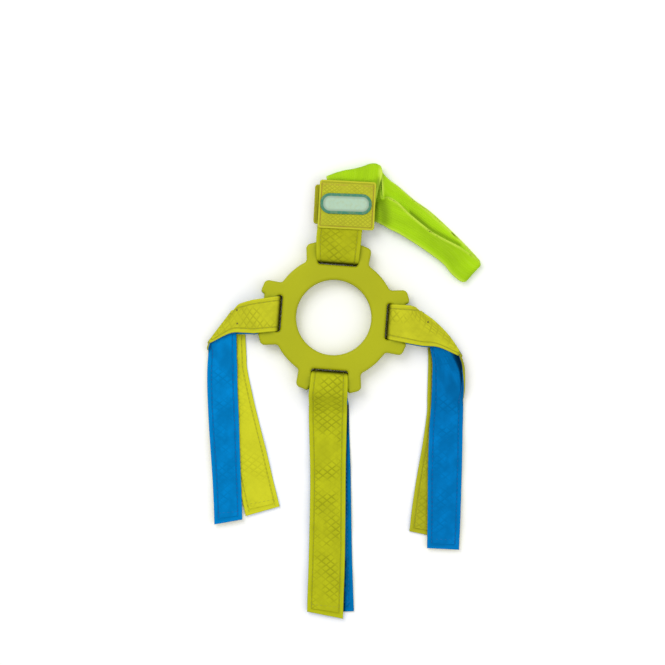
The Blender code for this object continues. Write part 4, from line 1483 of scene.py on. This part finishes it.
@dataclass
class Tube:
    """Webbing as a closed surface: a cross-section carried along rows.

    Attributes:
        rows: left, middle and right point of each row.
        half: half the thickness at each row.
        folded: whether the section is the webbing folded in half, open on its left.
        away: the way a crease bulges.
        pull: how far each row takes part in that bulge, from 0 to 1.
        shade: gives how far points lie in shade, from 0 to 1, or catch the light, from 0 to -1.
    """

    rows: np.ndarray
    half: np.ndarray
    folded: bool
    away: np.ndarray | None = None
    pull: np.ndarray | None = None
    shade: Callable[[np.ndarray], np.ndarray] | None = None

    def section(self) -> np.ndarray:
        """For each point of the section its anchor across, and its offset and height in half thicknesses."""
        inner = np.linspace(0.03, 0.97, 22)
        turn = np.linspace(math.pi / 2, -math.pi / 2, 9)
        top = np.column_stack((inner, np.zeros(22), np.ones(22)))
        right = np.column_stack((np.ones(9), np.cos(turn) - 1, np.sin(turn)))
        under = top[::-1] * (1, 1, -1)
        if not self.folded:
            left = right[::-1] * (0, -1, 1)
            return np.concatenate((top, right, under, left))
        lip = ((0, 0.12, 0.93), (0, 0.0, 0.55), (0, 0.06, 0.25), (0, 0.35, 0.07), (0, 0.5, 0.0))
        lips = np.array(lip)
        left = np.concatenate((lips * (1, 1, -1), lips[-2::-1]))
        return np.concatenate((top, right, under, left))

    def build(self, name: str, finish: Finish, seed: int, soft: float) -> bpy.types.Object:
        """Make the webbing.

        Args:
            name: the piece's name.
            finish: its surface.
            seed: which set of small waves it has.
            soft: how high they are.

        Returns:
            The piece.
        """
        left, right = self.rows[:, 0], self.rows[:, 2]
        across = right - left
        width = np.linalg.norm(across, axis=1, keepdims=True)
        side = across / width
        ahead = np.gradient(self.rows[:, 1], axis=0)
        up = np.cross(side, ahead)
        up /= np.linalg.norm(up, axis=1, keepdims=True)
        section = self.section()
        reach = section[None, :, 0] * width + section[None, :, 1] * self.half[:, None]
        run = np.concatenate(((0.0,), np.cumsum(np.linalg.norm(np.diff(self.rows[:, 1], axis=0), axis=1))))
        spot = np.stack((reach, np.broadcast_to(run[:, None], reach.shape)), -1)
        wave = ripple(spot, seed, 16 * MM, soft) * np.abs(section[:, 2])
        height = section[None, :, 2] * (self.half[:, None] + np.minimum(wave, 0.1 * MM))
        points = left[:, None] + side[:, None] * reach[..., None] + up[:, None] * height[..., None]
        if self.away is not None:
            share, shift = np.array(CREASE_BULGE).T
            bulge = np.interp(reach / width, share, shift * MM) * self.pull[:, None]
            points = points + self.away * bulge[..., None]
        count, wide = reach.shape
        index = np.arange(count * wide).reshape(count, wide)
        beside = np.roll(index, -1, axis=1)
        wall = np.stack((index[:-1], beside[:-1], beside[1:], index[1:]), -1).reshape(-1, 4)
        ends = []
        for ring, flip in ((index[0], 1), (index[-1], -1)):
            pairs = len(ring) // 2
            low, high = ring[:pairs], ring[::-1][:pairs]
            cap = np.stack((low[:-1], low[1:], high[1:], high[:-1]), -1)[:, ::flip]
            ends.append(cap)
        thing = add_mesh(name, points.reshape(-1, 3), np.concatenate((wall, *ends)), finish)
        edge = np.minimum(reach, width - reach)
        shade = np.zeros_like(edge) if self.shade is None else self.shade(points)
        set_map(thing, "cloth", spot.reshape(-1, 2))
        set_map(thing, "seam", np.stack((edge, shade), -1).reshape(-1, 2))
        return thing


CREASE = ((-5.2, 96.7), (32.0, 105.4))
CREASE_BULGE = (
    (0.0, 0.0),
    (0.1, 0.9),
    (0.2, 1.8),
    (0.35, 1.9),
    (0.5, 1.4),
    (0.67, 1.6),
    (0.78, 2.7),
    (0.86, 2.5),
    (0.93, 1.2),
    (1.0, -2.2),
)
FRONT_WIDE = (
    (-1.0, 86.0, 32.4, 97.5, 1.2, 4.65),
    (8.0, 75.5, 32.6, 88.5, 1.6, 4.65),
    (18.0, 69.5, 33.6, 82.4, 2.0, 4.9),
)
FRONT_RUN = (
    (30.5, 64.6, 37.6, 82.7, 2.2, 7.4),
    (38.5, 60.2, 44.0, 79.0, 2.23, 7.9),
    (45.1, 57.1, 51.6, 71.5, 2.23, 7.2),
    (58.1, 49.0, 66.2, 59.7, 2.23, 5.9),
    (67.0, 42.9, 76.0, 54.0, 2.23, 5.1),
    (75.2, 36.6, 86.0, 49.0, 2.23, 4.7),
    (80.6, 30.0, 94.4, 43.3, 2.23, 4.65),
)
BACK_WIDE = (
    (2.0, 89.0, 33.0, 99.8, 1.2, 1.45),
    (14.0, 83.0, 35.4, 94.2, 1.6, 1.45),
    (26.0, 76.5, 42.2, 88.5, 2.0, 1.45),
)
BACK_RUN = (
    (33.6, 77.5, 31.9, 101.0, 2.0, 5.7),
    (40.0, 72.0, 37.6, 95.0, 2.1, 4.6),
    (46.0, 68.0, 44.6, 89.8, 2.2, 3.6),
    (54.0, 60.5, 55.2, 80.8, 2.23, 2.4),
    (62.0, 53.0, 66.6, 72.7, 2.23, 1.7),
    (70.6, 44.6, 81.3, 59.2, 2.23, 1.45),
    (79.0, 34.2, 93.4, 47.0, 2.23, 1.45),
)
FAR_CREASE = (88.9, 22.7, 102.5, 37.3, 2.23, 4.65)
WEBBING = 1.3 * MM
FOLDED = 2.9 * MM
RUN_PITCH = 3.2 * MM
FRONT_PANEL_Z = 9.75 * MM
BACK_PANEL_Z = 8.15 * MM


@dataclass(frozen=True)
class Stroke:
    """A soft line of shade, or of light if its strength is negative, over what lies below a height.

    Attributes:
        path: plan points in millimetres from the ring's centre.
        width: how far it reaches to each side, in millimetres.
        strength: its value on the line.
        above: the height in millimetres over which it starts.
        below: the height in millimetres under which it ends.
    """

    path: tuple[tuple[float, float], ...]
    width: float
    strength: float
    above: float = 0.0
    below: float = 99.0

    def at(self, points: np.ndarray) -> np.ndarray:
        """Its value at points: at a distance d from the line, strength e^(-(d / width)^2)."""
        plan = points[..., None, :2] - RING_PLACE[:2]
        path = np.array(self.path) * MM
        step = np.diff(path, axis=0)
        share = ((plan - path[:-1]) * step).sum(-1) / (step**2).sum(-1)
        foot = path[:-1] + step * np.clip(share, 0, 1)[..., None]
        away = np.linalg.norm(plan - foot, axis=-1).min(-1)
        height = points[..., 2]
        there = (height > self.above * MM) & (height < self.below * MM)
        return self.strength * np.exp(-((away / (self.width * MM)) ** 2)) * there


def painted_stroke_shade(points: np.ndarray) -> np.ndarray:
    """The painted shade and light of the handle's strokes at points: the darkest stroke plus the lightest."""
    values = np.array([stroke.at(points) for stroke in STROKES])
    return values.max(axis=0) + values.min(axis=0)


# Painted shadows and painted highlights on the handle: shadows beside the patch and under the edges of the runs,
# highlights along folded edges.
STROKES = (
    Stroke(((30.3, 95.0), (30.8, 88.0), (31.1, 80.0)), 1.3, 0.62),
    Stroke(((29.0, 80.0), (29.6, 70.0), (29.0, 60.0)), 3.0, 0.65, below=9.3),
    Stroke(((-9.6, 94.3), (28.9, 92.4)), 1.2, 0.45),
    Stroke(((32.3, 100.4), (33.2, 90.0), (33.6, 81.5)), 0.9, -1.0, above=3.0),
    Stroke(((35.8, 83.6), (44.6, 79.9), (52.2, 72.4), (66.9, 60.5), (86.6, 49.8)), 1.3, 0.6, below=4.2),
    Stroke(((38.0, 81.2), (44.0, 78.0), (51.2, 70.9), (65.8, 59.2), (85.6, 48.2)), 0.7, -0.6, above=4.4),
    Stroke(((33.0, 80.0), (34.2, 73.0), (34.5, 66.0)), 4.4, 0.62, above=4.4),
    Stroke(((40.0, 71.0), (52.0, 64.0), (62.0, 55.0)), 4.0, 0.12, above=4.4),
    Stroke(((68.0, 50.0), (84.0, 40.0)), 6.0, 0.14, above=4.4),
    Stroke(((40.5, 93.6), (56.0, 79.8), (80.0, 59.0), (98.0, 41.5)), 0.8, -0.6, below=6.5),
)


def webbing_rows(table: tuple) -> tuple[np.ndarray, np.ndarray]:
    """Rows of webbing, and half its thickness at each, from a table in millimetres.

    Args:
        table: for each row x and y at the left, x and y at the right, thickness as a share of the
            flat webbing's, and height.

    Returns:
        Left, middle and right points in the toy's frame, and the half thicknesses.
    """
    table = np.array(table, float)
    height = table[:, 5:6] * MM
    left = np.hstack((table[:, 0:2] * MM, height))
    right = np.hstack((table[:, 2:4] * MM, height))
    return np.stack((left, (left + right) / 2, right), axis=1) + RING_PLACE, table[:, 4] * WEBBING / 2


@dataclass
class Handle:
    """The elastic handle: two runs of folded webbing joined at a far fold, and folded behind the patch."""

    patch: tuple[float, float] = (9.05, 76.7)
    patch_turn: float = math.radians(-3.0)

    def folded_end(self, name: str, upper: float, level: float, table: tuple, seed: int) -> bpy.types.Object:
        """Make one end of the webbing: up out of the patch, over the crease and down behind it.

        Args:
            name: the piece's name.
            upper: its height in the patch.
            level: its height behind it.
            table: its rows behind the crease.
            seed: which set of small waves it has.

        Returns:
            The piece.
        """
        patch = np.array((*self.patch, 0.0)) * MM + RING_PLACE
        crease, _ = webbing_rows(((*CREASE[0], *CREASE[1], 1.0, upper / MM),))
        away = away_from(crease[0], np.broadcast_to(patch, (3, 3)))
        start = crease[0] - away * (FRONT_PANEL_Z - FOLDED / 2 + WEBBING) / 2
        bend = fold(start, away, upper - level, 16)
        rows, half = webbing_rows(table)
        run = smooth(np.concatenate((bend[-1:], rows)), 10)
        thick = np.interp(
            np.linspace(0, len(rows), len(run)), np.arange(len(rows) + 1), np.append(WEBBING / 2, half)
        )
        side = np.array((math.cos(self.patch_turn), math.sin(self.patch_turn), 0)) * 19 * MM
        low = patch + np.array((-1.0, 0.0, 1.0))[:, None] * side
        low[:, 2] = upper
        panel = smooth(np.stack((low, (low + start) / 2, start)), 8)
        path = np.concatenate((panel[:-1], bend[:-1], run))
        half = np.concatenate((np.full(len(path) - len(run), WEBBING / 2), thick))
        reach = np.linalg.norm((path - start)[:, 1, :2], axis=1)
        pull = np.clip(1 - reach / (15 * MM), 0, 1) ** 1.5
        piece = Tube(path, half, False, away, pull, painted_stroke_shade).build(name, LIME, seed, 0.10 * MM)
        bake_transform(piece)
        return piece

    @staticmethod
    def cornered(path: np.ndarray, away: np.ndarray) -> np.ndarray:
        """Rows drawn in at both edges close to the far end, so that its corners are round."""
        radius = 2.8 * MM
        reach = path[:, 1] @ away
        short = np.clip(radius - (reach.max() - reach), 0, radius)
        inset = radius - np.sqrt(radius**2 - short**2)
        across = path[:, 2] - path[:, 0]
        across = across / np.linalg.norm(across, axis=1, keepdims=True) * inset[:, None]
        return path + np.stack((across, np.zeros_like(across), -across), axis=1)

    def build(self) -> None:
        """Make the handle's pieces and hide the CAD nodes that they replace."""
        outer = self.folded_end("handle_outer_fold", FRONT_PANEL_Z, FOLDED / 2, BACK_WIDE, 71)
        inner = self.folded_end("handle_inner_fold", BACK_PANEL_Z, FOLDED / 2 + RUN_PITCH, FRONT_WIDE, 72)
        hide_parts("handle_front_panel")
        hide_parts("handle_back_panel")
        front, front_half = webbing_rows(FRONT_WIDE[1:] + FRONT_RUN)
        back, back_half = webbing_rows(BACK_RUN)
        far, _ = webbing_rows((FAR_CREASE,))
        away = away_from(far[0], front[-1])
        last = far[0] - away * (RUN_PITCH + FOLDED) / 2
        turn = fold(last, away, RUN_PITCH, 14)
        upper = smooth(np.concatenate((front, last[None])), 9)
        lower = smooth(np.concatenate((back, turn[-1:])), 9)
        path = np.concatenate((upper, turn[1:-1], lower[::-1]))
        path = self.cornered(path, away)
        thick = np.concatenate(
            (
                np.interp(np.linspace(0, len(front), len(upper)), np.arange(len(front) + 1), np.append(front_half, FOLDED / 2)),
                np.full(len(turn) - 2, FOLDED / 2),
                np.interp(np.linspace(0, len(back), len(lower)), np.arange(len(back) + 1), np.append(back_half, FOLDED / 2))[::-1],
            )
        )
        runs = Tube(path, thick, True, shade=painted_stroke_shade).build("handle_runs", LIME, 83, 0.22 * MM)
        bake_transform(runs)
        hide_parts("handle_front_run", "handle_back_run", "handle_end")


# The ring


def rounded_corners(points: np.ndarray, radii: list[float], steps: int) -> np.ndarray:
    """Round each corner of a closed outline by its radius."""
    points = np.array(points, float)
    outline = []
    for index, (corner, radius) in enumerate(zip(points, radii)):
        if radius == 0:
            outline.append(corner)
            continue
        back = points[index - 1] - corner
        ahead = points[(index + 1) % len(points)] - corner
        back /= np.linalg.norm(back)
        ahead /= np.linalg.norm(ahead)
        opening = math.acos(np.clip(back @ ahead, -1, 1))
        reach = radius / math.tan(opening / 2)
        middle = back + ahead
        middle /= np.linalg.norm(middle)
        centre = corner + middle * radius / math.sin(opening / 2)
        first = corner + back * reach - centre
        last = corner + ahead * reach - centre
        share = np.linspace(0, 1, steps + 1)[:, None]
        spoke = first * (1 - share) + last * share
        outline.extend(centre + spoke * radius / np.linalg.norm(spoke, axis=1, keepdims=True))
    return np.array(outline)


@dataclass
class Ring:
    """The moulded rubber ring: a round hole, four lobes and a strap slot behind the bar of each."""

    across: float = 102.4 * MM
    thick: float = 9.0 * MM
    rim: float = 2.2 * MM
    hole: float = 25.698 * MM
    body: float = 42.5 * MM
    setback: float = 2.7 * MM
    slot_radius: float = 37.62 * MM
    slot_width: float = 3.76 * MM
    slot_halves: tuple[float, ...] = (13.7 * MM, 12.5 * MM, 12.6 * MM, 12.4 * MM)
    recess: float = 13.7 * MM

    @staticmethod
    def turned(points: np.ndarray, angle: float) -> np.ndarray:
        """Turn plan points round the ring's centre."""
        cosine, sine = math.cos(angle), math.sin(angle)
        return np.array(points) @ np.array(((cosine, sine), (-sine, cosine)))

    def lobe(self, angle: float) -> tuple[np.ndarray, list[float]]:
        """Corners and their radii for one lobe and the arc on to the next."""
        tip = self.across / 2
        neck = 21.2 * MM
        neck_out = math.sqrt(self.body**2 - neck**2)
        half = (
            (tip - self.setback, self.recess - MM, 0.6 * MM),
            (tip, self.recess, 2.3 * MM),
            (tip - 3 * MM, 22.5 * MM, 3.5 * MM),
            (neck_out, neck, 3 * MM),
        )
        corners = [(out, -side) for out, side, _ in reversed(half)] + [(out, side) for out, side, _ in half]
        radii = [radius for *_, radius in reversed(half)] + [radius for *_, radius in half]
        start = math.atan2(neck, neck_out)
        for share in np.linspace(0.1, 0.9, 17):
            bearing = start + (math.pi / 2 - 2 * start) * share
            corners.append((self.body * math.cos(bearing), self.body * math.sin(bearing)))
            radii.append(0)
        return self.turned(corners, angle), radii

    def slot(self, angle: float, half: float) -> np.ndarray:
        """The outline of one slot, half as long as given."""
        radius = self.slot_width / 2
        straight_half = half - radius
        bearing = np.linspace(0, math.pi, 15)
        ends = [
            np.column_stack(
                (self.slot_radius + radius * np.cos(bearing + start), side * straight_half + radius * np.sin(bearing + start))
            )
            for side, start in ((1, 0), (-1, math.pi))
        ]
        return self.turned(np.concatenate(ends), angle)

    def build(self) -> None:
        """Make the ring from its outlines and let it move with its body."""
        angles = [RING_TURN + math.pi / 2 * i for i in (1, 2, 3, 4)]
        corners, radii = [], []
        for angle in angles:
            points, rounds = self.lobe(angle)
            corners.extend(points)
            radii.extend(rounds)
        bearing = np.arange(160) * 2 * math.pi / 160
        hole = np.column_stack((np.cos(bearing), np.sin(bearing))) * self.hole
        outlines = [rounded_corners(corners, radii, 10), hole[::-1]] + [
            self.slot(angle, half)[::-1] for angle, half in zip(angles, self.slot_halves)
        ]
        curve = bpy.data.curves.new("ring_outline", "CURVE")
        curve.dimensions = "2D"
        curve.fill_mode = "BOTH"
        for outline in outlines:
            spline = curve.splines.new("POLY")
            spline.points.add(len(outline) - 1)
            flat = np.zeros((len(outline), 4))
            flat[:, :2] = outline
            flat[:, 3] = 1
            spline.points.foreach_set("co", flat.ravel())
            spline.use_cyclic_u = True
        curve.extrude = self.thick / 2 - self.rim
        curve.bevel_depth = self.rim
        curve.bevel_resolution = 8
        curve.offset = -self.rim
        carrier = bpy.data.objects.new("ring_outline", curve)
        bpy.context.scene.collection.objects.link(carrier)
        graph = bpy.context.evaluated_depsgraph_get()
        mesh = bpy.data.meshes.new_from_object(carrier.evaluated_get(graph))
        bpy.data.objects.remove(carrier, do_unlink=True)
        points = np.empty(len(mesh.vertices) * 3, np.float32)
        mesh.vertices.foreach_get("co", points)
        points = points.reshape(-1, 3) + RING_PLACE + (0, 0, BAR_Z)
        mesh.vertices.foreach_set("co", points.ravel())
        tidy = bmesh.new()
        tidy.from_mesh(mesh)
        bmesh.ops.remove_doubles(tidy, verts=tidy.verts, dist=1e-6)
        bmesh.ops.recalc_face_normals(tidy, faces=tidy.faces)
        tidy.to_mesh(mesh)
        tidy.free()
        mesh.shade_smooth()
        mesh.materials.clear()
        mesh.materials.append(RUBBER.build())
        thing = bpy.data.objects.new("rubber_ring_look", mesh)
        bpy.context.scene.collection.objects.link(thing)
        weigh = thing.modifiers.new("flat_faces", "WEIGHTED_NORMAL")
        weigh.keep_sharp = False
        weigh.weight = 100
        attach(thing, "ring")
        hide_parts("rubber_ring")
        log.info("ring: %d faces", len(mesh.polygons))


# The studio


@dataclass
class Studio:
    """A white table under large soft lights, seen from straight above."""

    view: tuple[float, float] = (-8.69, 40.4)
    frame_width: float = 457 * MM
    height: float = 1.45
    table_gain: float = 1.26

    def light(self, name: str, place: tuple[float, float, float], size: float, power: float) -> None:
        """Add a square soft light that faces the toy."""
        lamp = bpy.data.lights.new(name, "AREA")
        lamp.energy = power
        lamp.size = size
        thing = bpy.data.objects.new(name, lamp)
        thing.location = place
        aim = np.array((self.view[0] * MM, self.view[1] * MM, 0)) - np.array(place)
        thing.rotation_euler = (
            math.acos(-aim[2] / np.linalg.norm(aim)),
            0,
            math.atan2(aim[1], aim[0]) - math.pi / 2,
        )
        bpy.context.scene.collection.objects.link(thing)

    def build(self) -> None:
        """Lay the table, hang the lights and set the camera."""
        white = bpy.data.materials.new("white_table")
        white.use_nodes = True
        tree = white.node_tree
        tree.nodes.remove(tree.nodes["Principled BSDF"])
        seen, lit, path, mix = (
            tree.nodes.new(kind)
            for kind in ("ShaderNodeBsdfDiffuse", "ShaderNodeBsdfDiffuse", "ShaderNodeLightPath", "ShaderNodeMixShader")
        )
        seen.inputs["Color"].default_value = (*(self.table_gain,) * 3, 1)
        lit.inputs["Color"].default_value = (0.8, 0.8, 0.8, 1)
        tree.links.new(path.outputs["Is Camera Ray"], mix.inputs[0])
        tree.links.new(lit.outputs[0], mix.inputs[1])
        tree.links.new(seen.outputs[0], mix.inputs[2])
        tree.links.new(mix.outputs[0], tree.nodes["Material Output"].inputs["Surface"])
        mesh = bpy.data.meshes.new("table")
        mesh.from_pydata([(-4, -4, 0), (4, -4, 0), (4, 4, 0), (-4, 4, 0)], [], [(0, 1, 2, 3)])
        mesh.materials.append(white)
        table = bpy.data.objects.new("table", mesh)
        bpy.context.scene.collection.objects.link(table)
        self.light("key", (-0.55, 0.75, 1.25), 0.9, 7.0)
        self.light("fill", (0.8, -0.2, 1.2), 1.2, 3.0)
        world = bpy.data.worlds.new("studio")
        world.use_nodes = True
        background = world.node_tree.nodes["Background"]
        background.inputs["Color"].default_value = (1, 1, 1, 1)
        background.inputs["Strength"].default_value = 0.55
        scene = bpy.context.scene
        scene.world = world
        scene.view_settings.view_transform = "Standard"
        camera = bpy.data.cameras.new("camera")
        camera.sensor_width = 36
        camera.lens = 36 * self.height / self.frame_width
        camera.clip_end = 20
        seat = bpy.data.objects.new("camera", camera)
        seat.location = (self.view[0] * MM, self.view[1] * MM, self.height)
        scene.collection.objects.link(seat)
        scene.camera = seat


def main() -> None:
    """Dress the frame and light it."""
    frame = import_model()
    log.info("frame: %d nodes", len(frame["nodes"]))
    Ring().build()
    for plan in (WEST, EAST, SOUTH):
        Strap(plan).build()
    Patch().build()
    Handle().build()
    Studio().build()


if __name__ == "__main__":
    main()
